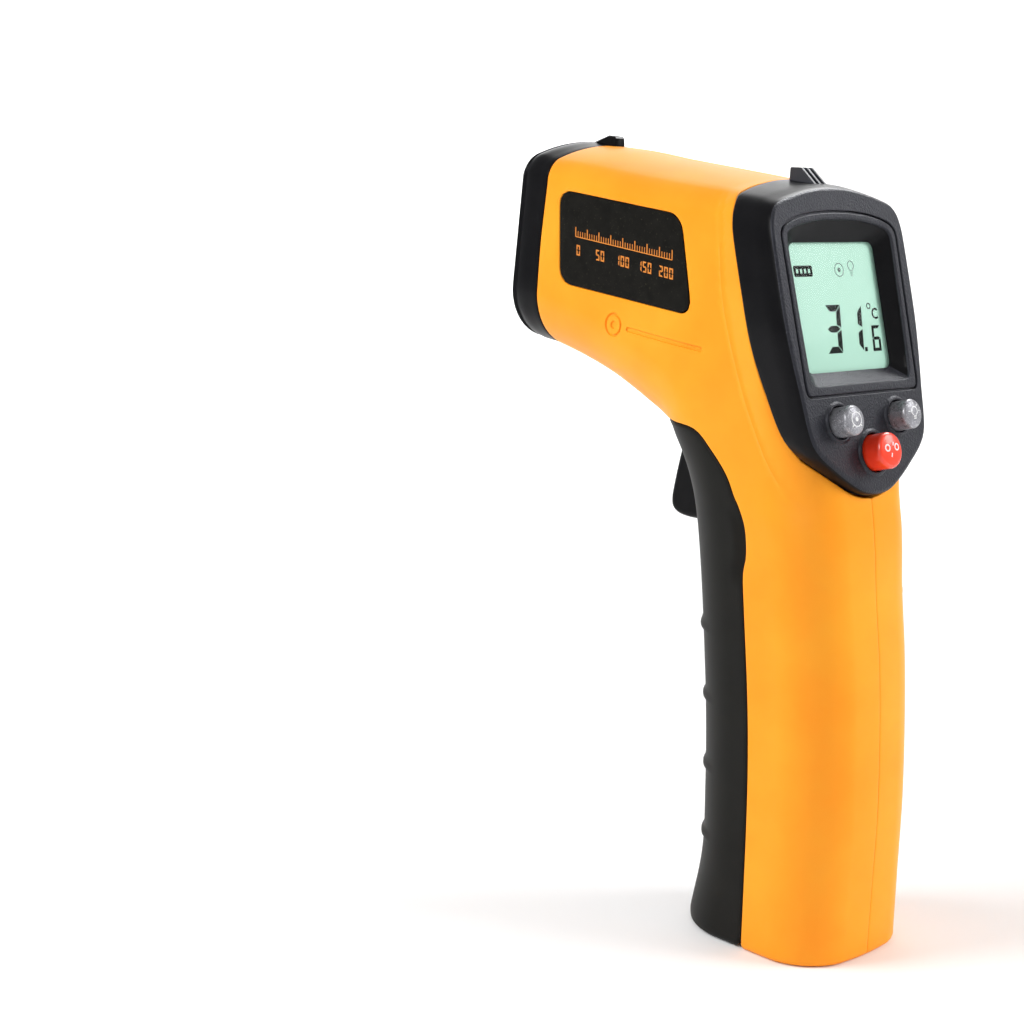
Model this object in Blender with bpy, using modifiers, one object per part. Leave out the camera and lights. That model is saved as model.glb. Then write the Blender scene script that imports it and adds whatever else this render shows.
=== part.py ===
"""Infrared thermometer: a pistol-shaped hand instrument, built as the parts it comes apart into.

Design axes: +Y towards the nose, -Y towards the reader, +X to the reader's right, +Z up, and
Z = 0 under the handle.  Lengths are in millimetres until MM turns them into metres."""

import math

import bmesh
import bpy
from mathutils import Matrix, Quaternion, Vector

MM = 0.001
FRAME_Y = -23.94       # moves the design so that the origin is under the middle of its box
GAP = 0.3               # clearance between parts that meet
WALL = 2.2              # thickness of every moulded shell

# ---- driving dimensions: the outer form ----------------------------------------------------
# Each station is a section across the body: its under or front point (y, z), its top or rear
# point (y, z), half width, top corner radius, roof drop, bottom corner radius, bottom rise.
STATIONS = (
    (68.0, 119.2, 62.4, 157.6, 17.4, 2.2, 3.8, 9.5, 0.8),
    (66.9, 117.8, 61.0, 158.6, 18.4, 2.8, 4.0, 10.5, 1.0),
    (60.2, 115.9, 55.0, 158.0, 18.6, 3.0, 4.2, 11.0, 1.0),
    (50.5, 113.0, 45.0, 156.7, 18.8, 3.4, 4.4, 11.5, 1.0),
    (42.5, 110.0, 36.0, 155.0, 19.0, 3.8, 4.5, 12.0, 1.0),
    (36.5, 107.2, 27.0, 153.5, 19.2, 4.0, 4.6, 12.0, 1.2),
    (31.2, 104.5, 17.0, 151.8, 19.5, 4.0, 4.3, 12.0, 1.4),
    (27.6, 102.6, 8.0, 150.2, 19.7, 4.0, 4.0, 12.0, 1.5),
    (25.6, 101.0, 0.5, 148.6, 19.9, 4.5, 3.8, 12.5, 1.5),
    (24.6, 99.2, -4.2, 142.5, 19.9, 5.0, 3.6, 13.0, 1.5),
    (23.9, 97.2, -7.6, 130.0, 19.8, 5.0, 3.3, 13.0, 1.5),
    (23.2, 94.6, -10.6, 117.0, 19.1, 6.5, 3.0, 13.0, 1.5),
    (22.6, 91.4, -13.0, 105.0, 18.2, 8.0, 2.8, 13.0, 1.5),
    (22.0, 87.2, -15.0, 93.5, 17.4, 9.0, 2.6, 13.0, 1.5),
    (21.5, 81.5, -16.5, 82.5, 16.8, 9.0, 2.5, 13.0, 1.5),
    (20.8, 72.0, -17.3, 72.0, 16.4, 9.0, 2.5, 13.0, 1.5),
    (20.0, 60.0, -18.6, 59.0, 16.2, 9.0, 2.5, 13.0, 1.5),
    (19.2, 45.0, -19.3, 44.0, 16.1, 9.0, 2.5, 13.0, 1.5),
    (19.0, 30.0, -19.4, 29.5, 16.1, 9.0, 2.5, 13.0, 1.5),
    (19.4, 15.0, -18.7, 15.0, 16.3, 9.0, 2.5, 13.0, 1.5),
    (22.1, 2.4, -18.1, 2.4, 16.5, 9.0, 2.5, 13.0, 1.5),
    (21.3, 0.0, -17.5, 0.0, 15.9, 8.6, 2.4, 12.5, 1.4),
)
INNER_START = 1.3       # place along the stations where the hollow begins, behind the nose wall

# Seams in side view (y, z), from the top down.
NOSE_SEAM = ((54.9, 166.0), (54.9, 158.5), (54.9, 154.1), (55.1, 150.8), (55.7, 147.2), (57.2, 138.5),
             (58.2, 129.6), (58.7, 123.6), (59.2, 119.6), (59.8, 114.0), (60.6, 106.0))
BEZEL_SEAM = ((5.8, 158.0), (5.7, 151.0), (5.4, 148.8), (4.6, 147.1), (3.7, 145.4), (3.3, 143.2),
              (2.6, 138.6), (0.2, 128.1), (-2.2, 117.7), (-5.9, 107.4), (-9.0, 100.5), (-12.5, 94.7), (-15.1, 90.0),
              (-18.0, 84.0), (-22.0, 76.0))
REAR_SEAM_POINTS = 10    # the part of that seam above the shield's sides
DOOR_SEAM = ((36.0, 104.9), (26.5, 103.9), (19.5, 103.3), (12.7, 102.4), (8.9, 98.6), (5.6, 94.1),
             (3.9, 90.2), (2.8, 88.3), (1.3, 84.3), (1.1, 78.9), (1.9, 75.2), (1.6, 67.8),
             (0.5, 52.4), (0.0, 39.2), (0.0, 23.0), (0.2, 9.2), (0.3, 2.1))

# ---- the display face ----------------------------------------------------------------------
FACE_TILT = math.radians(12.96)
LCD_CENTRE = (0.0, -6.84, 126.04)
LCD_VIEW = (25.3, 24.6, 1.5)            # seen width, height and corner radius of the display
PLATE = 2.5                             # face plate, from the display's plane outwards
BARREL_TILT = math.radians(8.0)
# Half of the shield's outline on the face (x, up the face from the display's centre).
SHIELD_HALF = ((0.0, 21.5), (5.2, 21.2), (10.3, 20.3), (14.6, 19.2), (16.9, 18.3), (18.2, 16.7),
               (18.8, 14.4), (19.0, 11.0), (19.0, -2.0), (18.4, -10.0), (17.6, -16.6), (17.1, -21.5),
               (16.3, -25.0), (14.5, -27.4), (11.3, -29.9), (7.7, -32.4), (3.9, -34.4), (0.0, -35.0))
SHIELD_RINGS = ((0.0, 0.0), (0.3, 0.7), (1.0, 1.15), (2.2, 1.4), (15.0, 1.4))  # travel, growth
LOWER_FLARE = 0.6                       # extra growth of the shield's underside
UPPER_SAVING = 0.3                      # growth that the shield's top does without
WINDOW_HALF = ((0.0, 16.0), (9.0, 15.4), (13.6, 14.6), (15.4, 12.4), (15.2, -2.0), (14.6, -13.4),
               (13.2, -14.9), (0.0, -14.9))

# ---- controls ------------------------------------------------------------------------------
SIDE_BUTTON = (8.8, -22.0, 2.85, 6.6)   # x, up the face, radius, top above the display's plane
UNIT_BUTTON = (0.0, -28.3, 3.45, 6.9)
TRIGGER_PIVOT = (21.5, 107.0)
TRIGGER_HALF_WIDTH = 4.8
HINGE_AXIS = (2.45, 2.1)                # of the battery door, (y, z)
HINGE_RADIUS = 2.0
POST_ROLL = 9.0          # turns the posts' facets away from those of their bores
SCREW_PLACES = ((44.0, 118.0), (22.0, 139.5), (13.0, 112.5), (-9.5, 70.0), (-10.0, 9.0))
RIB_HEIGHTS = (61.0, 46.5, 32.0, 17.5)

# ---- optics and cells ----------------------------------------------------------------------
LENS_CENTRE = (0.0, 65.4, 136.5)        # on the nose's front plane
LASER_CENTRE = (0.0, 63.1, 150.6)
CELL_RADIUS = 5.25
CELL_LENGTH = 43.7
CELL_X = 6.1
CELL_Y = 2.5
CELL_Z = 13.9
TRAY = (13.4, -4.5, 3.6, 8.0, 63.2)     # half width, rear y, front y, low z, high z
TRAY_WALL = 1.2


# ---- scene, materials and small tools ------------------------------------------------------
for old in list(bpy.data.objects):
    bpy.data.objects.remove(old)


def collection(name):
    made = bpy.data.collections.new(name)
    bpy.context.scene.collection.children.link(made)
    return made


PARTS = collection("infrared_thermometer")
CUTTERS = collection("cutters")
FRAME = bpy.data.objects.new("design_frame", None)
FRAME.location = (0.0, FRAME_Y * MM, 0.0)
PARTS.objects.link(FRAME)


def finish(name, colour, roughness, metallic=0.0, alpha=1.0):
    """A plain Principled material."""
    made = bpy.data.materials.new(name)
    made.use_nodes = True
    shader = made.node_tree.nodes["Principled BSDF"]
    shader.inputs["Base Color"].default_value = (*colour, 1.0)
    shader.inputs["Roughness"].default_value = roughness
    shader.inputs["Metallic"].default_value = metallic
    shader.inputs["Alpha"].default_value = alpha
    return made


ORANGE = finish("orange_plastic", (0.93, 0.36, 0.03), 0.42)
BLACK = finish("black_plastic", (0.025, 0.025, 0.028), 0.45)
GRIP = finish("grip_rubber", (0.032, 0.031, 0.030), 0.62)
GREY = finish("grey_button", (0.20, 0.20, 0.22), 0.4, 0.3)
RED = finish("red_button", (0.75, 0.03, 0.02), 0.3)
CLEAR = finish("clear_window", (0.9, 0.95, 0.93), 0.08, 0.0, 0.35)
LCD = finish("lcd_glass", (0.50, 0.78, 0.62), 0.2)
DIFFUSER = finish("white_diffuser", (0.85, 0.88, 0.84), 0.5)
BOARD = finish("circuit_board", (0.03, 0.16, 0.06), 0.5)
SWITCH = finish("switch_body", (0.05, 0.05, 0.06), 0.4)
STEEL = finish("steel", (0.55, 0.55, 0.56), 0.3, 1.0)
BRASS = finish("brass", (0.70, 0.52, 0.22), 0.3, 1.0)
LENS = finish("infrared_lens", (0.10, 0.08, 0.12), 0.1)
TRAY_PLASTIC = finish("tray_plastic", (0.06, 0.06, 0.065), 0.6)
CELL = finish("cell_sleeve", (0.15, 0.16, 0.30), 0.35)
LABEL = finish("label_film", (0.02, 0.02, 0.02), 0.5)
RED_WIRE = finish("red_insulation", (0.6, 0.02, 0.02), 0.45)
BLACK_WIRE = finish("black_insulation", (0.02, 0.02, 0.02), 0.45)
GREY_WIRE = finish("grey_insulation", (0.35, 0.35, 0.36), 0.5)


def register(name, data, material):
    """Put a mesh or curve in the scene as a part, or as a hidden cutter when it has no material."""
    item = bpy.data.objects.new(name, data)
    item.parent = FRAME
    if material is None:
        CUTTERS.objects.link(item)
        item.hide_render = True
        item.display_type = 'WIRE'
    else:
        PARTS.objects.link(item)
        data.materials.append(material)
    return item


def mesh_from(bm, name):
    bmesh.ops.recalc_face_normals(bm, faces=bm.faces)
    mesh = bpy.data.meshes.new(name)
    bm.to_mesh(mesh)
    bm.free()
    mesh.shade_smooth()
    mesh.set_sharp_from_angle(angle=math.radians(32))
    return mesh


def boolean(item, tool, operation='DIFFERENCE'):
    modifier = item.modifiers.new(tool.name, 'BOOLEAN')
    modifier.operation = operation
    modifier.object = tool


def axes(origin, across, up):
    """Matrix from (across, up, out) millimetres to design millimetres."""
    across = Vector(across).normalized()
    up = Vector(up).normalized()
    out = across.cross(up)
    turn = Matrix((across, up, out)).transposed().to_4x4()
    return Matrix.Translation(Vector(origin)) @ turn


SIDE = axes((0, 0, 0), (0, 1, 0), (0, 0, 1))
FACE = axes(LCD_CENTRE, (1, 0, 0), (0, math.sin(FACE_TILT), math.cos(FACE_TILT)))
BARREL = Vector((0.0, math.cos(BARREL_TILT), math.sin(BARREL_TILT)))
NOSE_TILT = math.radians(9.6)
NOSE_OUT = Vector((0.0, math.cos(NOSE_TILT), math.sin(NOSE_TILT)))


def loft(name, rings, material=None):
    """A closed skin through rings that have the same number of points."""
    bm = bmesh.new()
    rows = [[bm.verts.new(Vector(point) * MM) for point in ring] for ring in rings]
    count = len(rows[0])
    for near, far in zip(rows, rows[1:]):
        for i in range(count):
            j = (i + 1) % count
            bm.faces.new((near[i], near[j], far[j], far[i]))
    bm.faces.new(rows[0])
    bm.faces.new(rows[-1])
    return register(name, mesh_from(bm, name), material)


def prism(name, outline, frame, low, high, material=None):
    """A flat outline (across, up) pushed from `low` to `high` along the frame's outward axis."""
    bm = bmesh.new()
    face = bm.faces.new([bm.verts.new((frame @ Vector((u, v, low))) * MM) for u, v in outline])
    grown = bmesh.ops.extrude_face_region(bm, geom=[face])["geom"]
    moved = [element for element in grown if isinstance(element, bmesh.types.BMVert)]
    push = frame.to_3x3() @ Vector((0, 0, (high - low) * MM))
    bmesh.ops.translate(bm, verts=moved, vec=push)
    return register(name, mesh_from(bm, name), material)


def box(name, low, high, material=None):
    """An upright block between two corners."""
    bm = bmesh.new()
    bmesh.ops.create_cube(bm, size=1.0)
    low, high = Vector(low), Vector(high)
    bmesh.ops.scale(bm, vec=(high - low) * MM, verts=bm.verts)
    bmesh.ops.translate(bm, vec=(high + low) * 0.5 * MM, verts=bm.verts)
    return register(name, mesh_from(bm, name), material)


def turned(name, profile, origin, out, material=None, steps=20, tube=False, roll=0.0):
    """A profile of (radius, height) points, listed from the top down, turned about `out`."""
    mesh = bpy.data.meshes.new(name)
    edges = [(i, i + 1) for i in range(len(profile) - 1)]
    if tube:
        edges.append((len(profile) - 1, 0))
    mesh.from_pydata([(r * MM, 0.0, h * MM) for r, h in profile], edges, [])
    item = register(name, mesh, material)
    item.location = Vector(origin) * MM
    turn_out = Vector(out).to_track_quat('Z', 'Y') @ Quaternion((0, 0, 1), math.radians(roll))
    item.rotation_euler = turn_out.to_euler()
    turn = item.modifiers.new("turn", 'SCREW')
    turn.steps = steps
    turn.render_steps = steps
    turn.use_merge_vertices = True
    turn.merge_threshold = 0.00001
    return item


def rod(name, radius, origin, out, low, high, material=None, steps=20, roll=0.0):
    """A plain cylinder from `low` to `high` along `out`."""
    return turned(name, ((0, high), (radius, high), (radius, low), (0, low)), origin, out,
                  material, steps, roll=roll)


def wire(name, points, radius, material, resolution=2):
    """A round wire along a list of points."""
    curve = bpy.data.curves.new(name, 'CURVE')
    curve.dimensions = '3D'
    curve.bevel_depth = radius * MM
    curve.bevel_resolution = resolution
    curve.use_fill_caps = True
    spline = curve.splines.new('POLY')
    spline.points.add(len(points) - 1)
    for target, point in zip(spline.points, points):
        target.co = (*(Vector(point) * MM), 1.0)
    return register(name, curve, material)


def catmull(points, per, closed=False):
    """A smooth curve through the points, with `per` steps between neighbours."""
    count = len(points)
    last = count if closed else count - 1

    def at(index):
        return points[index % count] if closed else points[min(max(index, 0), count - 1)]

    curve = []
    for i in range(last):
        p0, p1, p2, p3 = at(i - 1), at(i), at(i + 1), at(i + 2)
        for step in range(per):
            t = step / per
            weights = ((-t + 2 * t * t - t ** 3) / 2, (2 - 5 * t * t + 3 * t ** 3) / 2,
                       (t + 4 * t * t - 3 * t ** 3) / 2, (-t * t + t ** 3) / 2)
            curve.append(tuple(sum(w * p for w, p in zip(weights, group))
                               for group in zip(p0, p1, p2, p3)))
    if not closed:
        curve.append(tuple(points[-1]))
    return curve


def sideways(points, distance, closed=False):
    """Move each point of a flat line to the left of its direction of travel."""
    moved = []
    count = len(points)
    for i, (u, v) in enumerate(points):
        before = points[(i - 1) % count] if closed or i > 0 else points[0]
        after = points[(i + 1) % count] if closed or i < count - 1 else points[-1]
        run = Vector((after[0] - before[0], after[1] - before[1])).normalized()
        moved.append((u - run.y * distance, v + run.x * distance))
    return moved


def mirrored(half):
    """A closed outline from its +X half, which starts and ends on the centre line."""
    return list(half) + [(-x, v) for x, v in reversed(half[1:-1])]


def rounded_rectangle(width, height, radius, steps=3):
    outline = []
    for corner, (sx, sy) in enumerate(((1, 1), (-1, 1), (-1, -1), (1, -1))):
        for step in range(steps + 1):
            turn = math.radians(90 * corner + 90 * step / steps)
            outline.append((sx * (width / 2 - radius) + radius * math.cos(turn),
                            sy * (height / 2 - radius) + radius * math.sin(turn)))
    return outline


def arc(centre, radius, start, end, steps):
    """Points of a circular arc, in degrees."""
    turns = [math.radians(start + (end - start) * step / steps) for step in range(steps + 1)]
    return [(centre[0] + radius * math.cos(t), centre[1] + radius * math.sin(t)) for t in turns]


# ---- the outer form ------------------------------------------------------------------------
def bend(start, corner, end, steps):
    """A rounded corner: a conic close to a circular arc, without its first point."""
    points = []
    for step in range(1, steps + 1):
        t = step / steps
        w0, w1, w2 = (1 - t) ** 2, 1.42 * t * (1 - t), t * t
        total = w0 + w1 + w2
        points.append(tuple((w0 * a + w1 * b + w2 * c) / total
                            for a, b, c in zip(start, corner, end)))
    return points


def half_section(height, width, top_radius, roof_drop, low_radius, low_rise):
    """(x, height) points from the middle of the roof down one side to the middle of the floor."""
    def roof(x):
        return height - roof_drop * (x / width) ** 2

    def floor(x):
        return low_rise * (x / width) ** 2

    top_x = width - top_radius
    low_x = width - low_radius
    points = [(top_x * i / 3, roof(top_x * i / 3)) for i in range(4)]
    side_top = roof(width) - top_radius
    side_low = floor(width) + low_radius
    points += bend(points[-1], (width, roof(width)), (width, side_top), 3)
    points.append((width, (side_top + side_low) / 2))
    points.append((width, side_low))
    points += bend((width, side_low), (width, floor(width)), (low_x, floor(low_x)), 4)
    points += [(low_x * 0.5, floor(low_x * 0.5)), (0.0, 0.0)]
    return points


def body_ring(place, inset=0.0):
    """The body's section at a place along STATIONS, moved inwards by `inset`."""
    first = min(int(place), len(STATIONS) - 2)
    share = place - first
    row = [a + (b - a) * share for a, b in zip(STATIONS[first], STATIONS[first + 1])]
    under, upper = Vector((0.0, row[0], row[1])), Vector((0.0, row[2], row[3]))
    rise = (upper - under).normalized()
    height = (upper - under).length - 2 * inset
    start = under + rise * inset
    half = half_section(height, row[4] - inset, max(row[5] - inset, 1.0), row[6],
                        max(row[7] - inset, 1.0), row[8])
    return [start + rise * t + Vector((x, 0, 0)) for x, t in mirrored(half)]


def body_form(name, inset=0.0, places=None, material=None):
    if places is None:
        places = range(len(STATIONS))
    return loft(name, [body_ring(place, inset) for place in places], material)


def ahead_of(seam, shift, far):
    """Side-view region from a seam to the line y = far, with the seam moved forward by `shift`."""
    line = sideways(seam, shift)
    return line + [(far, line[-1][1]), (far, line[0][1])]


def shield_ring(travel, growth):
    """The shield's outline, moved along the barrel and grown outwards."""
    outline = mirrored(SHIELD_HALF)
    grown = []
    for (x, v), (px, pv) in zip(outline, sideways(outline, 1.0, closed=True)):
        amount = growth * (1.0 + LOWER_FLARE * max(0.0, v - pv) - UPPER_SAVING * max(0.0, pv - v))
        grown.append(FACE @ Vector((x + (px - x) * amount, v + (pv - v) * amount, PLATE))
                     + BARREL * travel)
    return grown


hollow = body_form("hollow", WALL, [INNER_START] + list(range(2, len(STATIONS) - 1)))
nose_zone = prism("nose_zone", ahead_of(NOSE_SEAM, GAP / 2, 90.0), SIDE, -30, 30)
nose_zone_wide = prism("nose_zone_wide", ahead_of(NOSE_SEAM, -GAP / 2, 90.0), SIDE, -30, 30)
bezel_zone = prism("bezel_zone", ahead_of(BEZEL_SEAM, -GAP / 2, -50.0), SIDE, -30, 30)
bezel_zone_wide = prism("bezel_zone_wide", ahead_of(BEZEL_SEAM, GAP / 2, -50.0), SIDE, -30, 30)
rear_zone = prism("rear_zone", ahead_of(BEZEL_SEAM[:REAR_SEAM_POINTS], GAP / 2, -50.0), SIDE, -30, 30)
door_line = sideways(DOOR_SEAM, GAP / 2)[:-1]
door_heel = arc(HINGE_AXIS, HINGE_RADIUS, 180, 270, 4) + [(HINGE_AXIS[0], -6.0), (36.0, -6.0)]
door_zone = prism("door_zone", door_line + door_heel, SIDE, -30, 30)
door_zone_wide = prism("door_zone_wide", ahead_of(DOOR_SEAM + ((0.3, -6.0),), -GAP / 2, 36.0),
                       SIDE, -30, 30)
shield_room = loft("shield_room", [shield_ring(travel, SHIELD_RINGS[-1][1] + GAP)
                                   for travel in (-4.0, 15.3)])
boolean(shield_room, bezel_zone_wide, 'INTERSECT')


# ---- casings -------------------------------------------------------------------------------
def label_outline(growth=0.0):
    """The side label: a parallelogram with round corners, in side view."""
    corners = ((51.3, 148.6), (16.6, 143.2), (13.3, 124.1), (51.2, 129.6))
    radius = 3.0
    outline = []
    for i, corner in enumerate(corners):
        here = Vector(corner)
        back = (Vector(corners[i - 1]) - here).normalized() * radius
        ahead = (Vector(corners[(i + 1) % 4]) - here).normalized() * radius
        outline.append(tuple(here + back))
        outline += bend(tuple(here + back), corner, tuple(here + ahead), 3)
    return sideways(outline, -growth, closed=True)


LABEL_PLACES = range(2, 10)
label_top = body_form("label_top", 0.1, LABEL_PLACES)
label_under = body_form("label_under", 0.6, LABEL_PLACES)
label_floor = body_form("label_floor", 0.9, LABEL_PLACES)


def casing_half(name, side):
    """One orange half: side is -1 for left and +1 for right."""
    low, high = sorted((side * GAP / 2, side * 30.0))
    shell = body_form(name, 0.0, None, ORANGE)
    boolean(shell, box(name + "_half_space", (low, -60, -20), (high, 90, 180)), 'INTERSECT')
    boolean(shell, hollow)
    if side < 0:
        arm = box("switch_arm", (-18.5, -2.0, 95.0), (-10.0, 8.0, 104.5))
        boolean(arm, post_limit, 'INTERSECT')
        boolean(shell, arm, 'UNION')
    boolean(shell, nose_zone_wide)
    boolean(shell, door_zone_wide)
    boolean(shell, shield_room)
    boolean(shell, rear_zone)
    if side < 0:
        boolean(shell, box("switch_shelf", (-13.0, 4.5, 91.0), (3.5, 8.0, 104.5)), 'UNION')
    for number, place in enumerate(SCREW_PLACES, 1):
        add_screw_post(shell, f"{name}_post_{number}", place, side)
    add_post(shell, name + "_pivot", TRIGGER_PIVOT, side, 2.8, 5.7)
    boolean(shell, rod(name + "_pivot_bore", 1.3, (0, *TRIGGER_PIVOT), (side, 0, 0), 4.0, 10.3,
                       None, 12))
    boolean(shell, box(name + "_trigger_slot", (-5.3, 8.4, 79.5), (5.3, 28.0, 107.5)))
    pocket = prism(name + "_label_pocket", label_outline(GAP), SIDE, *sorted((side * 12, side * 26)))
    boolean(pocket, label_floor)
    boolean(shell, pocket)
    add_ear(shell, name, side)
    return shell


def add_ear(shell, name, side):
    """The eye at the foot of the shell that holds the door's hinge pin."""
    y, z = HINGE_AXIS
    outline = arc(HINGE_AXIS, 1.9, -80, 100, 6) + [(-6.0, z + 1.6), (-6.0, 0.9), (y - 1.5, 0.3)]
    boolean(shell, prism(name + "_ear", outline, SIDE, *sorted((side * 9.5, side * 12.5))), 'UNION')
    boolean(shell, rod(name + "_ear_bore", 1.1, (0, y, z), (side, 0, 0), 8.0, 14.0, None, 12))


def add_post(shell, name, place, side, radius, start):
    """A round post from the casing's side wall towards the middle, ending at x = start."""
    post = rod(name + "_post", radius, (0, *place), (side, 0, 0), start, 21.0, None, 14, POST_ROLL)
    boolean(post, post_limit, 'INTERSECT')
    boolean(shell, post, 'UNION')


def add_screw_post(shell, name, place, side):
    """A post for a casing screw: blind on the left, with a sunk head on the right."""
    add_post(shell, name, place, side, 3.4 if side > 0 else 2.6, GAP / 2)
    bore = ((0, 30.0), (2.4, 30.0), (2.4, 6.0), (1.4, 6.0), (1.4, -1.0), (0, -1.0))
    if side < 0:
        bore = ((0, 9.0), (1.4, 9.0), (1.4, -1.0), (0, -1.0))
    boolean(shell, turned(name + "_bore", bore, (0, *place), (side, 0, 0), None, 12))


post_limit = body_form("post_limit", 1.0)
shell_left = casing_half("shell_left", -1)
shell_right = casing_half("shell_right", 1)
for side, name in ((-1, "label_left"), (1, "label_right")):
    label = prism(name, label_outline(), SIDE, *sorted((side * 12, side * 26)), LABEL)
    boolean(label, label_top, 'INTERSECT')
    boolean(label, label_under)


def make_nose_cap():
    """The black front ring with its lens mouth, laser hole and front sight."""
    cap = body_form("nose_cap", 0.0, None, BLACK)
    boolean(cap, nose_zone, 'INTERSECT')
    boolean(cap, hollow)
    sight = prism("front_sight", ((52.6, 158.1), (52.7, 159.7), (54.8, 160.1), (59.9, 158.7),
                                  (59.9, 156.9), (55.6, 157.0), (55.5, 158.4)), SIDE, -1.5, 1.5)
    boolean(cap, sight, 'UNION')
    boolean(cap, turned("lens_mouth", ((0, 4), (9.4, 4), (8.4, 0), (6.2, -3.0), (6.2, -12), (0, -12)),
                        LENS_CENTRE, NOSE_OUT, None, 28))
    boolean(cap, rod("laser_mouth", 2.4, LASER_CENTRE, NOSE_OUT, -12, 4, None, 16))
    return cap


def make_bezel():
    """The black display surround: a deep shield with the window, key holes and rear sight."""
    bezel = loft("display_bezel", [shield_ring(*ring) for ring in SHIELD_RINGS], BLACK)
    boolean(bezel, bezel_zone, 'INTERSECT')
    inner = [shield_ring(travel, SHIELD_RINGS[-1][1] - WALL) for travel in (PLATE, 17.0)]
    boolean(bezel, loft("bezel_hollow", inner))
    sight = prism("rear_sight", ((4.9, 148.0), (4.6, 152.2), (1.9, 152.0), (-1.4, 148.8),
                                 (-1.2, 147.6)), SIDE, -2.1, 2.1)
    boolean(sight, bezel_zone, 'INTERSECT')
    boolean(bezel, sight, 'UNION')
    width, height, radius = LCD_VIEW
    near = catmull(mirrored(WINDOW_HALF), 2, closed=True)
    steps = len(near) // 4 - 1
    far = [point for point in rounded_rectangle(width, height, radius, steps)]
    far = match_start(far, near)
    window = [[FACE @ Vector((x, v, level)) for x, v in ring]
              for level, ring in ((-4.0, far), (0.0, far), (PLATE, near), (PLATE + 3.0, near))]
    boolean(bezel, loft("window_opening", window))
    for x, v, radius, top in (SIDE_BUTTON, mirror_button(SIDE_BUTTON), UNIT_BUTTON):
        hole = rod("key_hole", radius + GAP, FACE @ Vector((x, v, 0)), FACE.col[2].xyz, -4, 8,
                   None, 20)
        boolean(bezel, hole)
    return bezel


def mirror_button(button):
    return (-button[0], *button[1:])


def match_start(ring, other):
    """Turn a ring's list round so that it starts near the other ring's start."""
    target = Vector(other[0])
    best = min(range(len(ring)), key=lambda i: (Vector(ring[i]) - target).length)
    ordered = ring[best:] + ring[:best]
    if (Vector(ordered[1]) - Vector(other[1])).length > (Vector(ordered[-1]) - Vector(other[1])).length:
        ordered = [ordered[0]] + ordered[:0:-1]
    return ordered


def make_door():
    """The grip: a battery door that hinges at the foot and wraps round the trigger."""
    door = body_form("battery_door", 0.0, None, GRIP)
    boolean(door, door_zone, 'INTERSECT')
    boolean(door, hollow)
    boolean(door, box("door_trigger_slot", (-5.4, 12.0, 79.5), (5.4, 45.0, 112.0)))
    for number, height in enumerate(RIB_HEIGHTS, 1):
        front = body_front(height)
        rib = rod(f"grip_rib_{number}", 1.5, (0, front - 0.9, height), (1, 0, 0), -7.0, 7.0, None, 10)
        boolean(door, rib, 'UNION')
    for side in (-1, 1):
        boolean(door, box(f"ear_room_{side}", (min(side * 9.2, side * 12.8), -3.0, -1.0),
                          (max(side * 9.2, side * 12.8), 5.4, 5.0)))
        knuckle = rod(f"knuckle_{side}", HINGE_RADIUS - 0.02, (0, *HINGE_AXIS), (side, 0, 0),
                      12.85, 15.0, None, 14)
        boolean(door, knuckle, 'UNION')
    boolean(door, rod("knuckle_bore", 1.1, (0, *HINGE_AXIS), (1, 0, 0), -14.3, 14.3, None, 12, 5.0))
    return set_origin(door, (0, *HINGE_AXIS))


def body_front(height):
    """y of the grip's front at a height, on the centre line."""
    for lower, upper in zip(STATIONS[::-1], STATIONS[-2::-1]):
        if lower[1] <= height <= upper[1]:
            share = (height - lower[1]) / (upper[1] - lower[1])
            return lower[0] + (upper[0] - lower[0]) * share
    raise ValueError("height is outside the grip")


def set_origin(item, point):
    """Move an object's origin to a design point, and leave its shape where it is."""
    item.data.transform(Matrix.Translation(-Vector(point) * MM))
    item.location = Vector(point) * MM
    return item


make_nose_cap()
make_bezel()
make_door()
rod("door_hinge_pin", 0.8, (0, *HINGE_AXIS), (1, 0, 0), -14.0, 14.0, STEEL, 14)


# ---- display, board and keys ---------------------------------------------------------------
def face_plate(name, width, height, radius, low, high, material, centre=(0.0, 0.0)):
    outline = [(x + centre[0], v + centre[1]) for x, v in rounded_rectangle(width, height, radius, 2)]
    return prism(name, outline, FACE, low, high, material)


face_plate("lcd_window", 29.0, 28.4, 1.5, -1.3, -0.3, CLEAR)
face_plate("lcd_module", 28.6, 28.0, 0.6, -3.8, -1.6, LCD)
face_plate("backlight", 28.6, 28.0, 0.6, -6.1, -4.1, DIFFUSER)
BOARD_HALF = ((0.0, 15.0), (14.6, 15.0), (15.6, 14.0), (15.6, -18.0), (12.4, -25.0), (7.0, -31.0),
              (0.0, -31.0))
prism("main_pcb", mirrored(BOARD_HALF), FACE, -8.0, -6.4, BOARD)


def key(name, button, material):
    """A push key: a domed cap, a stem through the plate and a flange that keeps it in."""
    x, v, radius, top = button
    dome = [(radius * math.sin(t), top - 1.3 + 1.3 * math.cos(t))
            for t in (math.radians(a) for a in (0, 30, 60, 90))]
    profile = dome + [(radius, -0.3), (radius + 0.45, -0.3), (radius + 0.45, -1.3), (0, -1.3)]
    turned(name, profile, FACE @ Vector((x, v, 0)), FACE.col[2].xyz, material, 20)


def tact_switch(name, button):
    """The small switch under a key."""
    x, v = button[:2]
    body = face_plate(name, 5.0, 5.0, 0.4, -6.1, -3.1, SWITCH, (x, v))
    plunger = rod(name + "_plunger", 1.2, FACE @ Vector((x, v, 0)), FACE.col[2].xyz, -3.6, -2.2,
                  None, 12)
    boolean(body, plunger, 'UNION')


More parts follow.
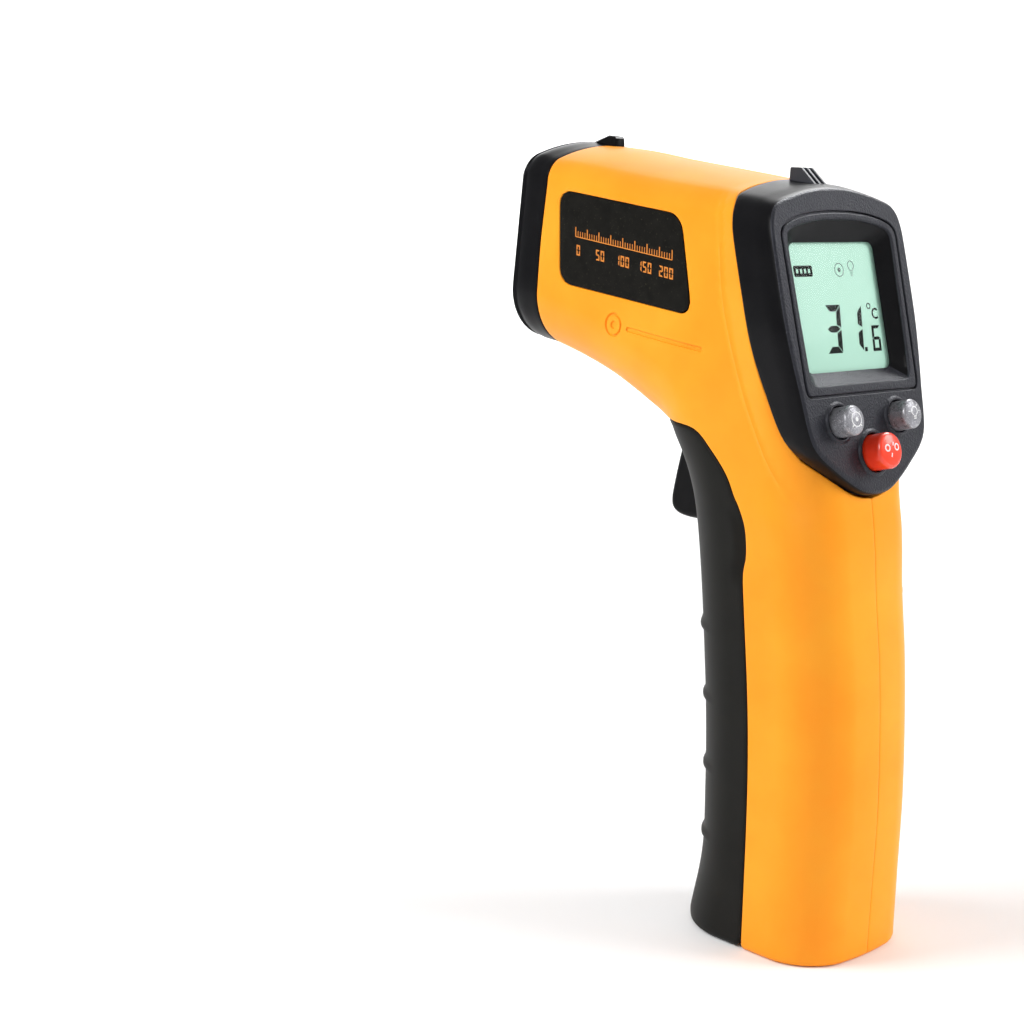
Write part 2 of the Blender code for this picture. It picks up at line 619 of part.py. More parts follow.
key("laser_button", mirror_button(SIDE_BUTTON), GREY)
key("backlight_button", SIDE_BUTTON, GREY)
key("unit_button", UNIT_BUTTON, RED)
tact_switch("laser_switch", mirror_button(SIDE_BUTTON))
tact_switch("backlight_switch", SIDE_BUTTON)
tact_switch("unit_switch", UNIT_BUTTON)


# ---- trigger -------------------------------------------------------------------------------
def make_trigger():
    front = catmull(((24.6, 107.2), (26.6, 103.0), (28.9, 98.1), (30.9, 91.5), (32.2, 86.2)), 2)
    tip = catmull(((32.2, 86.2), (32.0, 83.9), (30.5, 82.4), (27.5, 81.8), (22.8, 81.7)), 2)
    rear = ((20.6, 83.4), (19.4, 88.5), (18.2, 96.0), (17.9, 103.5), (18.5, 107.2))
    crown = arc(TRIGGER_PIVOT, 3.1, 175, 5, 8)
    outline = front + tip[1:] + list(rear) + crown
    trigger = prism("trigger", outline, SIDE, -TRIGGER_HALF_WIDTH, TRIGGER_HALF_WIDTH, BLACK)
    edge = trigger.modifiers.new("edge", 'BEVEL')
    edge.width = 0.9 * MM
    edge.segments = 2
    edge.limit_method = 'ANGLE'
    edge.angle_limit = math.radians(50)
    boolean(trigger, rod("trigger_bore", 1.3, (0, *TRIGGER_PIVOT), (1, 0, 0), -9, 9, None, 14))
    return set_origin(trigger, (0, *TRIGGER_PIVOT))


def helix(origin, out, across, radius, length, turns, per_turn):
    """Points of a coil that starts at `origin` and runs along `out`."""
    out, across = Vector(out), Vector(across)
    third = out.cross(across)
    count = round(turns * per_turn)
    points = []
    for step in range(count + 1):
        angle = math.tau * step / per_turn
        points.append(Vector(origin) + out * (length * step / count)
                      + (across * math.cos(angle) + third * math.sin(angle)) * radius)
    return points


make_trigger()
rod("trigger_pin", 1.0, (0, *TRIGGER_PIVOT), (1, 0, 0), -10.0, 10.0, STEEL, 14)
wire("trigger_spring", helix((0, 8.9, 101.0), (0, 1, 0), (1, 0, 0), 2.0, 8.0, 4, 8), 0.3, STEEL)
switch = box("trigger_switch", (-3.2, 8.3, 91.6), (3.2, 12.0, 97.4), SWITCH)
boolean(switch, rod("trigger_switch_plunger", 1.5, (0, 0, 94.5), (0, 1, 0), 11.0, 13.6, None, 12),
        'UNION')


# ---- optics in the nose --------------------------------------------------------------------
lens_profile = [(6.9 * math.sin(t), -3.9 - 0.9 * (1 - math.cos(t))) for t in (0.0, 0.5, 1.0)]
turned("ir_lens", lens_profile + [(6.9, -4.9), (6.9, -6.3), (0, -6.3)], LENS_CENTRE, NOSE_OUT, LENS, 24)
turned("lens_tube", ((8.0, -6.6), (8.0, -20.0), (5.4, -20.0), (5.4, -6.6)), LENS_CENTRE, NOSE_OUT,
       TRAY_PLASTIC, 24, tube=True)
turned("thermopile_sensor", ((0, -14.9), (2.7, -14.9), (2.7, -18.6), (4.6, -18.6), (4.6, -19.6),
                             (0, -19.6)), LENS_CENTRE, NOSE_OUT, STEEL, 20)
nose_frame = axes(LENS_CENTRE, (1, 0, 0), (0, -math.sin(NOSE_TILT), math.cos(NOSE_TILT)))
prism("sensor_pcb", rounded_rectangle(22, 19, 1.0, 1), nose_frame, 20.3, 21.6, BOARD)
turned("laser_module", ((0, -4.0), (2.2, -4.0), (3.0, -4.8), (3.0, -15.0), (0, -15.0)), LASER_CENTRE,
       NOSE_OUT, BRASS, 20)
turned("laser_window", ((0, -0.9), (2.1, -0.9), (2.1, -2.0), (0, -2.0)), LASER_CENTRE, NOSE_OUT,
       CLEAR, 16)


# ---- battery bay ---------------------------------------------------------------------------
def make_tray():
    half, rear, front, low, high = TRAY
    tray = box("battery_tray", (-half, rear, low), (half, front, high), TRAY_PLASTIC)
    for side in (-1, 1):
        x_low, x_high = sorted((side * 0.5, side * (half - TRAY_WALL)))
        boolean(tray, box(f"cell_bay_{side}", (x_low, rear + TRAY_WALL, low + TRAY_WALL),
                          (x_high, front + 9.0, high - TRAY_WALL)))
    return tray


def cell(name, x, up):
    """A AAA cell; `up` is +1 when its button end is at the top."""
    half = CELL_LENGTH / 2
    profile = ((0, half + 0.8), (1.9, half + 0.8), (1.9, half), (CELL_RADIUS - 0.5, half),
               (CELL_RADIUS, half - 0.5), (CELL_RADIUS, -half + 0.3), (CELL_RADIUS - 0.3, -half),
               (0, -half))
    turned(name, profile, (x, CELL_Y, CELL_Z + half), (0, 0, up), CELL, 20)


def contact_spring(name, x, low):
    wire(name, helix((x, CELL_Y, low), (0, 0, 1), (1, 0, 0), 3.0, 3.4, 2.5, 8), 0.35, STEEL)


make_tray()
cell("cell_left", -CELL_X, 1)
cell("cell_right", CELL_X, -1)
tray_floor = TRAY[3] + TRAY_WALL
tray_roof = TRAY[4] - TRAY_WALL
contact_spring("contact_spring_lower", -CELL_X, tray_floor + 0.3)
contact_spring("contact_spring_upper", CELL_X, CELL_Z + CELL_LENGTH + 0.5)
for name, x, low in (("contact_plate_upper", -CELL_X, tray_roof - 0.9),
                     ("contact_plate_lower", CELL_X, tray_floor + 0.3)):
    box(name, (x - 4.0, CELL_Y - 5.2, low), (x + 4.0, CELL_Y + 1.8, low + 0.6), STEEL)


# ---- fixings and wiring --------------------------------------------------------------------
def casing_screw(name, place):
    profile = ((0, 7.9), (1.6, 7.9), (2.05, 7.3), (2.05, 6.3), (1.1, 6.3), (1.1, -5.4), (0, -6.4))
    screw = turned(name, profile, (0, *place), (1, 0, 0), STEEL, 14)
    for number, (dy, dz) in enumerate(((1.3, 0.28), (0.28, 1.3)), 1):
        y, z = place
        boolean(screw, box(f"{name}_recess_{number}", (7.0, y - dy, z - dz), (9.0, y + dy, z + dz)))


for number, place in enumerate(SCREW_PLACES, 1):
    casing_screw(f"casing_screw_{number}", place)
for name, x, material in (("battery_lead_red", -5.0, RED_WIRE), ("battery_lead_black", 5.0, BLACK_WIRE)):
    route = ((x, -2.6, TRAY[4] + 0.6), (x, -2.9, 70.0), (x * 0.8, -3.4, 80.0), (x * 0.7, -5.6, 91.8))
    wire(name, catmull(route, 3), 0.7, material)
wire("sensor_lead", catmull(((-5.0, 43.3, 132.6), (-6.5, 36.0, 131.6), (-7.0, 24.0, 129.0),
                             (-6.0, 12.0, 126.5), (-5.0, 2.2, 126.0)), 3), 1.1, GREY_WIRE)
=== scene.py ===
"""Looks of the infrared thermometer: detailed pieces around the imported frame.

Design axes are those of the frame, in millimetres, with y moved by FRAME_Y: +Y is towards the
nose, +X to the right as seen from behind the display, and Z = 0 under the handle."""
import math

import bmesh
import bpy
import numpy as np
from mathutils import Matrix, Vector


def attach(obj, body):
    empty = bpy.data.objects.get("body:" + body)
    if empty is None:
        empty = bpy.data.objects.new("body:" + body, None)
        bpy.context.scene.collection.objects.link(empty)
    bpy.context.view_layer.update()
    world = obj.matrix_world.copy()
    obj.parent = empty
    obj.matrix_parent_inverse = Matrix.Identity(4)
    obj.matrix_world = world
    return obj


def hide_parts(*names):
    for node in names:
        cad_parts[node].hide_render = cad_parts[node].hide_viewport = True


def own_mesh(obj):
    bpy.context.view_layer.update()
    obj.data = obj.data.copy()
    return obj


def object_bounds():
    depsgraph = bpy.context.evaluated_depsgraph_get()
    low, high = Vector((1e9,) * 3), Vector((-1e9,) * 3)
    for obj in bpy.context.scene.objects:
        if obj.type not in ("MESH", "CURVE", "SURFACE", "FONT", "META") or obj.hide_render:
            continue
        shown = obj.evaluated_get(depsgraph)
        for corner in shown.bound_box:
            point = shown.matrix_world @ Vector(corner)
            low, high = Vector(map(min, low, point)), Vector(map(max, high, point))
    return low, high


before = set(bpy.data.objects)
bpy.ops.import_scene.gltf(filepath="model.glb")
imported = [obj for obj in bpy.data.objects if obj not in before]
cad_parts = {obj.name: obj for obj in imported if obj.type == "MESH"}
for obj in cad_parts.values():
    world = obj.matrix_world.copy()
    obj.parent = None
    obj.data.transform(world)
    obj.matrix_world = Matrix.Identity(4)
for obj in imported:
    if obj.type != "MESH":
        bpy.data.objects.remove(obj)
cad_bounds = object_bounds()

MM = 0.001
FRAME_Y = -23.94
GAP = 0.24                # visible width of a seam
WALL = 1.7                # thickness of the moulded skins
SEAM_ROUND = 0.3          # edge radius along the seams
MOULD_ROUND = 0.1         # edge radius where the two orange halves meet

# ---- outer form: the sections of the CAD model ------------------------------------------------
STATIONS = np.array((
    (68.0, 119.2, 62.4, 157.6, 17.4, 2.2, 3.8, 9.5, 0.8),
    (66.9, 117.8, 61.0, 158.6, 18.4, 2.8, 4.0, 10.5, 1.0),
    (60.2, 115.9, 55.0, 158.0, 18.6, 3.0, 4.2, 11.0, 1.0),
    (50.5, 113.0, 45.0, 156.7, 18.8, 3.4, 4.4, 11.5, 1.0),
    (42.5, 110.0, 36.0, 155.0, 19.0, 3.8, 4.5, 12.0, 1.0),
    (36.5, 107.2, 27.0, 153.5, 19.2, 4.0, 4.6, 12.0, 1.2),
    (31.2, 104.5, 17.0, 151.8, 19.5, 4.0, 4.3, 12.0, 1.4),
    (27.6, 102.6, 8.0, 150.2, 19.7, 4.0, 4.0, 12.0, 1.5),
    (25.6, 101.0, 0.5, 148.6, 19.9, 4.5, 3.8, 12.5, 1.5),
    (24.6, 99.2, -4.2, 142.5, 19.9, 5.0, 3.6, 13.0, 1.5),
    (23.9, 97.2, -7.6, 130.0, 19.8, 5.0, 3.3, 13.0, 1.5),
    (23.2, 94.6, -10.6, 117.0, 19.1, 6.5, 3.0, 13.0, 1.5),
    (22.6, 91.4, -13.0, 105.0, 18.2, 8.0, 2.8, 13.0, 1.5),
    (22.0, 87.2, -15.0, 93.5, 17.4, 9.0, 2.6, 13.0, 1.5),
    (21.5, 81.5, -16.5, 82.5, 16.8, 9.0, 2.5, 13.0, 1.5),
    (20.8, 72.0, -17.3, 72.0, 16.4, 9.0, 2.5, 13.0, 1.5),
    (20.0, 60.0, -18.6, 59.0, 16.2, 9.0, 2.5, 13.0, 1.5),
    (19.2, 45.0, -19.3, 44.0, 16.1, 9.0, 2.5, 13.0, 1.5),
    (19.0, 30.0, -19.4, 29.5, 16.1, 9.0, 2.5, 13.0, 1.5),
    (19.4, 15.0, -18.7, 15.0, 16.3, 9.0, 2.5, 13.0, 1.5),
    (22.1, 2.4, -18.1, 2.4, 16.5, 9.0, 2.5, 13.0, 1.5)))
NOSE_SEAM = ((54.9, 166.0), (54.9, 158.5), (54.9, 154.1), (55.1, 150.8), (55.7, 147.2), (57.2, 138.5),
             (58.2, 129.6), (58.7, 123.6), (59.2, 119.6), (59.8, 114.0), (60.6, 106.0))
BEZEL_SEAM = ((5.8, 158.0), (5.7, 151.0), (5.4, 148.8), (4.6, 147.1), (3.7, 145.4), (3.3, 143.2),
              (2.6, 138.6), (0.2, 128.1), (-2.2, 117.7), (-5.9, 107.4), (-9.0, 100.5),
              (-12.5, 94.7), (-15.1, 90.0), (-18.0, 84.0), (-22.0, 76.0))
DOOR_SEAM = ((40.0, 105.3), (36.0, 104.9), (26.5, 103.9), (19.5, 103.3), (12.7, 102.4), (8.9, 98.6),
             (5.6, 94.1), (3.9, 90.2), (2.8, 88.3), (1.3, 84.3), (1.1, 78.9), (1.9, 75.2),
             (1.6, 67.8), (0.5, 52.4), (0.0, 39.2), (0.0, 23.0), (0.2, 9.2), (0.3, 2.1),
             (0.3, -6.0))
LABEL_CORNERS = ((51.3, 148.6), (16.6, 143.2), (13.3, 124.1), (51.2, 129.6))
LABEL_RADIUS = 3.0
SCREW_HOLES = ((44.0, 118.0), (13.0, 112.5), (-9.5, 70.0), (-10.0, 9.0))
SCREW_BORE = ((2.5, 17.0), (2.5, 5.8), (4.0, 5.8), (4.0, 14.0), (3.0, 16.6), (2.5, 17.0))
RIB_HEIGHTS = (62.8, 48.5, 34.2, 19.9)

# ---- display face -------------------------------------------------------------------------------
FACE_TILT = math.radians(12.96)
LCD_CENTRE = np.array((0.0, -6.84, 126.04))
LCD_VIEW = (25.3, 24.6, 1.5)
PLATE = 2.5
BARREL_TILT = math.radians(8.0)
SHIELD_HALF = ((0.0, 21.5), (5.2, 21.2), (10.3, 20.3), (14.6, 19.2), (16.9, 18.3), (18.2, 16.7),
               (18.8, 14.4), (19.0, 11.0), (19.0, -2.0), (18.4, -10.0), (17.6, -16.6), (17.1, -21.5),
               (16.3, -25.0), (14.5, -27.4), (11.3, -29.9), (7.7, -32.4), (3.9, -34.4), (0.0, -35.0))
WINDOW_HALF = ((0.0, 16.0), (5.0, 15.9), (9.0, 15.4), (12.6, 14.7), (14.8, 13.6), (15.4, 11.6),
               (15.3, 4.0), (15.2, -2.0), (15.0, -8.0), (14.8, -12.6), (14.3, -14.3),
               (12.8, -14.9), (7.0, -14.9), (0.0, -14.9))
GROOVE_HALF = ((0.0, 17.9), (5.0, 17.75), (9.9, 17.2), (13.8, 16.3), (16.3, 15.1), (17.3, 13.4),
               (17.4, 11.0), (17.3, 4.0), (17.2, -4.0), (17.1, -11.0), (17.0, -15.2), (16.4, -16.9),
               (14.9, -17.3), (8.0, -17.3), (0.0, -17.3))
SIDE_KEY = (8.8, -22.0, 2.85, 6.6)          # across, up, radius and height
OTHER_KEY = (-8.8, -22.0, 2.85, 6.6)
UNIT_KEY = (0.0, -28.3, 3.45, 6.9)
TRIGGER_PIVOT = (21.5, 107.0)
TRIGGER_HALF_WIDTH = 4.8


# ---- curves -------------------------------------------------------------------------------------
def catmull(points, per, closed=False):
    """A smooth curve through points of any dimension, `per` steps between neighbours."""
    count = len(points)
    last = count if closed else count - 1

    def at(index):
        return points[index % count] if closed else points[min(max(index, 0), count - 1)]

    curve = []
    for i in range(last):
        group = [np.array(at(i + k), float) for k in (-1, 0, 1, 2)]
        for step in range(per):
            t = step / per
            weights = ((-t + 2 * t * t - t ** 3) / 2, (2 - 5 * t * t + 3 * t ** 3) / 2,
                       (t + 4 * t * t - 3 * t ** 3) / 2, (-t * t + t ** 3) / 2)
            curve.append(sum(w * p for w, p in zip(weights, group)))
    if not closed:
        curve.append(np.array(points[-1], float))
    return np.array(curve)


def mirrored(half):
    return [tuple(p) for p in half] + [(-x, v) for x, v in reversed(list(half)[1:-1])]


def resample(outline, count):
    """A closed outline as `count` evenly spaced points, from its first point on."""
    ring = np.vstack((outline, outline[:1]))
    steps = np.linalg.norm(np.diff(ring, axis=0), axis=1)
    place = np.concatenate(((0.0,), np.cumsum(steps)))
    wanted = np.linspace(0.0, place[-1], count, endpoint=False)
    return np.column_stack([np.interp(wanted, place, ring[:, k]) for k in range(2)])


def offset(outline, distance):
    """A closed outline moved to the left of its direction of travel."""
    run = np.roll(outline, -1, axis=0) - np.roll(outline, 1, axis=0)
    run /= np.linalg.norm(run, axis=1)[:, None]
    return outline + np.column_stack((-run[:, 1], run[:, 0])) * distance


def turning(outline):
    """Twice the area of a closed outline, positive when it runs to the left."""
    ahead = np.roll(outline, -1, axis=0)
    return np.sum(outline[:, 0] * ahead[:, 1] - ahead[:, 0] * outline[:, 1])


def line_distance(line, points, closed=False):
    """Signed distance of flat points to a line: positive on the left of its travel, or outside
    a closed one."""
    line = np.asarray(line, float)
    if closed:
        line = np.vstack((line, line[:1]))
    start, run = line[:-1], np.diff(line, axis=0)
    best = np.full(len(points), 1e9)
    signed = np.zeros(len(points))
    for a, r in zip(start, run):
        rel = points - a
        t = np.clip(rel @ r / (r @ r), 0, 1)
        far = rel - t[:, None] * r
        distance = np.hypot(far[:, 0], far[:, 1])
        side = r[0] * rel[:, 1] - r[1] * rel[:, 0]
        nearer = distance < best - 1e-9
        best[nearer] = distance[nearer]
        signed[nearer] = (np.sign(side) * distance)[nearer]
    if closed:
        inside = np.zeros(len(points), bool)
        for a, r in zip(start, run):
            if r[1] == 0:
                continue
            share = (points[:, 1] - a[1]) / r[1]
            inside ^= (share >= 0) & (share < 1) & (points[:, 0] < a[0] + share * r[0])
        signed = np.where(inside, -best, best)
    return signed


def bend(start, corner, end, shares):
    """Points of a smooth bend from start to end, pulled towards a corner."""
    t = np.asarray(shares)[:, None]
    w0, w1, w2 = (1 - t) ** 2, 1.42 * t * (1 - t), t * t
    return (w0 * np.array(start) + w1 * np.array(corner) + w2 * np.array(end)) / (w0 + w1 + w2)


def rounded(corners, radius, steps=5):
    """A closed outline through corners, each cut by a smooth bend."""
    corners = np.array(corners, float)
    outline = []
    for here, back, ahead in zip(corners, np.roll(corners, 1, axis=0), np.roll(corners, -1, axis=0)):
        ends = [here + (other - here) / np.linalg.norm(other - here) * radius
                for other in (back, ahead)]
        outline.append(bend(ends[0], here, ends[1], np.arange(steps + 1) / steps))
    return np.vstack(outline)


nose_line = catmull(NOSE_SEAM, 5)
bezel_line = catmull(BEZEL_SEAM, 5)
door_line = catmull(DOOR_SEAM, 4)
label_line = rounded(LABEL_CORNERS, LABEL_RADIUS)


# ---- the body's skin ------------------------------------------------------------------------------
def station_rows(places):
    """Sections at places along STATIONS, smooth between them."""
    chord = np.array([0.5 * (np.hypot(*(b[:2] - a[:2])) + np.hypot(*(b[2:4] - a[2:4])))
                      for a, b in zip(STATIONS, STATIONS[1:])])
    slope = np.diff(STATIONS, axis=0) / chord[:, None]
    tangent = np.vstack((slope[:1], (slope[:-1] * chord[1:, None] + slope[1:] * chord[:-1, None])
                         / (chord[1:] + chord[:-1])[:, None], slope[-1:]))
    rows = []
    for place in places:
        i = min(int(place), len(STATIONS) - 2)
        t, h = place - i, chord[i]
        rows.append((2 * t ** 3 - 3 * t * t + 1) * STATIONS[i]
                    + (t ** 3 - 2 * t * t + t) * h * tangent[i]
                    + (3 * t * t - 2 * t ** 3) * STATIONS[i + 1]
                    + (t ** 3 - t * t) * h * tangent[i + 1])
    return np.array(rows)


def half_section(row, columns, inset=0.0):
    """(x, height) down one side of a section, at the given columns: 0..1 is the roof, 1..2 the
    top corner, 2..3 the side, 3..4 the bottom corner and 4..5 the floor."""
    under, upper = row[:2], row[2:4]
    height = np.hypot(*(upper - under)) - 2 * inset
    width, top_radius, drop = row[4] - inset, max(row[5] - inset, 0.8), row[6]
    low_radius, rise = max(row[7] - inset, 0.8), row[8]
    top_x, low_x = width - top_radius, width - low_radius

    def roof(x):
        return height - drop * (x / width) ** 2

    def floor(x):
        return rise * (x / width) ** 2

    side_top, side_low = roof(width) - top_radius, floor(width) + low_radius
    out = []
    columns = np.asarray(columns, float)
    c = columns[columns <= 1]
    out.append(np.column_stack((top_x * c, roof(top_x * c))))
    c = columns[(columns > 1) & (columns <= 2)] - 1
    out.append(bend((top_x, roof(top_x)), (width, roof(width)), (width, side_top), c))
    c = columns[(columns > 2) & (columns <= 3)] - 2
    out.append(np.column_stack((np.full(len(c), width), side_top + (side_low - side_top) * c)))
    c = columns[(columns > 3) & (columns <= 4)] - 3
    out.append(bend((width, side_low), (width, floor(width)), (low_x, floor(low_x)), c))
    c = 5 - columns[columns > 4]
    out.append(np.column_stack((low_x * c, floor(low_x * c))))
    return np.vstack(out)


def half_ring(row, columns, side, inset=0.0, lift=0.0):
    """Design points of one side of a section."""
    flat = half_section(row, columns, inset)
    under, upper = row[:2], row[2:4]
    rise = (upper - under) / np.hypot(*(upper - under))
    spots = under + rise * (flat[:, 1:] + inset)
    return np.column_stack((side * flat[:, 0], spots[:, 0], spots[:, 1] + lift))


class Skin:
    """A surface to cut, round and thicken: points, outward normals and polygons."""

    def __init__(self, points, faces):
        self.points = np.array(points, float)
        self.faces = [tuple(f) for f in faces]
        self.round = np.zeros(len(self.points))
        self.update()

    def update(self):
        normals = np.zeros_like(self.points)
        for face in self.faces:
            ring = self.points[list(face)]
            area = np.zeros(3)
            for i in range(1, len(face) - 1):
                area += np.cross(ring[i] - ring[0], ring[i + 1] - ring[0])
            for index in face:
                normals[index] += area
        length = np.linalg.norm(normals, axis=1)
        length[length == 0] = 1
        self.normals = normals / length[:, None]

    def flip(self):
        self.faces = [tuple(reversed(f)) for f in self.faces]
        self.normals = -self.normals

    def push(self, amounts):
        """Move every point along its normal."""
        self.points = self.points + self.normals * np.asarray(amounts)[:, None]
        self.update()

    def rims(self):
        """Directed edges that only one polygon uses."""
        seen = {}
        for face in self.faces:
            for a, b in zip(face, face[1:] + face[:1]):
                seen[(a, b)] = True
        return [edge for edge in seen if (edge[1], edge[0]) not in seen]

    def seam(self, line, side):
        """Keep what lies beyond a seam, on the given side of its line, with a rounded edge."""
        self.cut(lambda p: side * line_distance(line, yz(p)) - GAP / 2 - SEAM_ROUND,
                 radius=SEAM_ROUND)

    def cut(self, level, keep_both=False, radius=0.0, snap=0.3):
        """Cut along level(points) = 0 and keep the positive side, or both sides."""
        d = level(self.points)
        rim = self.rims()
        rim_edges = {tuple(sorted(e)) for e in rim}
        rim_points = {a for a, b in rim}
        moves = {}
        for face in self.faces:
            for a, b in zip(face, face[1:] + face[:1]):
                if d[a] * d[b] >= 0:
                    continue
                u = d[a] / (d[a] - d[b])
                index, share = (a, u) if u < 0.5 else (b, 1 - u)
                if share > snap:
                    continue
                if index in rim_points and tuple(sorted((a, b))) not in rim_edges:
                    continue
                if index not in moves or share < moves[index][0]:
                    moves[index] = (share, a, b, u)
        before = self.points.copy()
        for index, (share, a, b, u) in moves.items():
            self.points[index] = before[a] * (1 - u) + before[b] * u
        for index in moves:
            d[index] = 0.0
        points, normals = list(self.points), list(self.normals)
        rounds = list(self.round)
        made = {}

        def crossing(a, b):
            key = (min(a, b), max(a, b))
            if key not in made:
                u = d[a] / (d[a] - d[b])
                points.append(self.points[a] * (1 - u) + self.points[b] * u)
                normal = self.normals[a] * (1 - u) + self.normals[b] * u
                normals.append(normal / np.linalg.norm(normal))
                rounds.append(min(rounds[a], rounds[b]) if key in rim_edges else 0.0)
                made[key] = len(points) - 1
            return made[key]

        faces = []
        for face in self.faces:
            values = [d[i] for i in face]
            if min(values) >= 0:
                if max(values) > 0:
                    faces.append(face)
                continue
            if max(values) <= 0:
                if keep_both:
                    faces.append(face)
                continue
            for sign in ((1, -1) if keep_both else (1,)):
                piece = []
                for a, b in zip(face, face[1:] + face[:1]):
                    if d[a] * sign >= 0:
                        piece.append(a)
                    if d[a] * d[b] < 0:
                        piece.append(crossing(a, b))
                if len(piece) > 2:
                    faces.append(tuple(piece))
        on_line = set(made.values()) | {i for i in range(len(d)) if d[i] == 0}
        used = sorted({i for face in faces for i in face})
        renumber = {old: new for new, old in enumerate(used)}
        self.faces = [tuple(renumber[i] for i in face) for face in faces]
        self.points = np.array([points[i] for i in used])
        self.normals = np.array([normals[i] for i in used])
        self.round = np.array([rounds[i] for i in used])
        if not keep_both:
            for index in on_line:
                if index in renumber:
                    new = renumber[index]
                    self.round[new] = min(self.round[new], radius) if self.round[new] > 0 else radius
        return self

    def solid(self, wall=WALL, steps=3):
        """Points and polygons of the skin with rounded rims and a thickness."""
        rim = self.rims()
        spread = np.zeros_like(self.points)
        shares = {}
        for a, b in rim:
            run = self.points[b] - self.points[a]
            length = np.linalg.norm(run)
            if length < 1e-9:
                continue
            for index in (a, b):
                out = np.cross(run / length, self.normals[index])
                spread[index] += out
                shares.setdefault(index, []).append(out)
        order = sorted(shares)
        points = [self.points]
        base = len(self.points)
        faces = list(self.faces)
        out = spread[order]
        out /= np.linalg.norm(out, axis=1)[:, None]
        stretch = np.array([1 / max(0.6, float(np.mean([o @ w / max(np.linalg.norm(w), 1e-9)
                            for w in shares[i]]))) for i, o in zip(order, out)])
        out *= stretch[:, None]
        rounds = self.round[order][:, None]
        start, normal = self.points[order], self.normals[order]
        for step in range(1, steps + 1):
            turn = math.pi / 2 * step / steps
            points.append(start + out * rounds * math.sin(turn)
                          - normal * rounds * (1 - math.cos(turn)))
        points.append(start + out * rounds - normal * wall)
        inner = self.points - self.normals * wall
        column = {index: k for k, index in enumerate(order)}
        count = len(order)
        inner_base = base + count * (steps + 1)
        points.append(inner)
        for a, b in rim:
            if a not in column or b not in column:
                continue
            near = (a, b)
            for step in range(steps + 1):
                far = tuple(base + count * step + column[i] for i in (a, b))
                faces.append((near[1], near[0], far[0], far[1]))
                near = far
            faces.append((near[1], near[0], inner_base + a, inner_base + b))
        faces += [tuple(inner_base + i for i in reversed(face)) for face in self.faces]
        return np.vstack(points), faces


def welded(left, right, near, digits):
    """The two halves of a skin as one, with their points on the middle plane shared."""
    skin = Skin(np.vstack((left.points, right.points)),
                left.faces + [tuple(i + len(left.points) for i in f) for f in right.faces])
    skin.round = np.concatenate((left.round, right.round))
    places, order = {}, []
    for i, p in enumerate(skin.points):
        middle = abs(p[0]) < near
        if middle:
            p[0] = 0.0
        order.append(places.setdefault(tuple(np.round(p, digits)) if middle else i, i))
    skin.faces = [tuple(order[i] for i in f) for f in skin.faces]
    used = sorted({i for f in skin.faces for i in f})
    renumber = {old: new for new, old in enumerate(used)}
    skin.faces = [tuple(renumber[i] for i in f) for f in skin.faces]
    skin.points, skin.round = skin.points[used], skin.round[used]
    skin.update()
    return skin


def grid_faces(rows, columns, closed=False):
    faces = []
    for i in range(rows - 1):
        for j in range(columns if closed else columns - 1):
            k = (j + 1) % columns
            faces.append((i * columns + j, (i + 1) * columns + j, (i + 1) * columns + k,
                          i * columns + k))
    return faces


BASE_Z = 2.4
BASE_ROUND = 1.3


def body_skin(side, places, columns, base=False):
    """One side of the body's outer form as a skin. `base` adds the rounded foot."""
    rings = [half_ring(row, columns, side) for row in station_rows(places)]
    if base:
        row = STATIONS[-1]
        rings.append(half_ring(row, columns, side, 0.0, BASE_ROUND - BASE_Z + 0.1))
        for turn in (15, 30, 45, 60, 75, 90):
            t = math.radians(turn)
            rings.append(half_ring(row, columns, side, BASE_ROUND * (1 - math.cos(t)),
                                   BASE_ROUND * (1 - math.sin(t)) - BASE_Z))
        last = rings[-1]
        centre = np.array((0.0, (row[0] + row[2]) / 2, 0.0))
        for share in (0.85, 0.65, 0.45, 0.25, 0.08):
            rings.append(centre + (last - centre) * (share, share, 1))
    skin = Skin(np.vstack(rings), grid_faces(len(rings), len(columns)))
    if side > 0:
        skin.flip()
    if skin.normals[len(columns) // 2] @ (side, 0, 0) < 0:
        skin.flip()
    return skin


def even_places(start, end, spacing, extra=()):
    """Places along the stations about `spacing` apart in millimetres, with finer stretches."""
    places = [start]
    rows = station_rows(np.linspace(start, end, 600))
    mid = (rows[:, :2] + rows[:, 2:4]) / 2
    reach = np.hypot(*(rows[:, :2] - rows[:, 2:4]).T) / 2
    walk = np.hypot(*np.diff(mid, axis=0).T) + 0.35 * np.abs(np.diff(
        np.arctan2(rows[:, 3] - rows[:, 1], rows[:, 2] - rows[:, 0]))) * reach[1:]
    spaces = np.linspace(start, end, 600)
    total = 0.0
    for k in range(len(walk)):
        total += walk[k]
        step = spacing
        for low, high, fine in extra:
            if low <= spaces[k] <= high:
                step = fine
        if total >= step:
            places.append(spaces[k + 1])
            total = 0.0
    if places[-1] < end - 1e-6:
        places.append(end)
    return np.array(places)


def columns_of(roof=9, top=8, side=22, low=12, floor=5, fine=()):
    """Columns round half a section, so many to each stretch, and finer ones where asked."""
    columns = np.concatenate([(0.0,)] + [np.linspace(k, k + 1, count + 1)[1:] for k, count
                                         in enumerate((roof, top, side, low, floor))])
    for start, end, step in fine:
        columns = np.concatenate((columns[(columns < start) | (columns >= end)],
                                  np.arange(start, end, step)))
    return np.sort(columns)


def yz(points):
    return points[:, 1:]


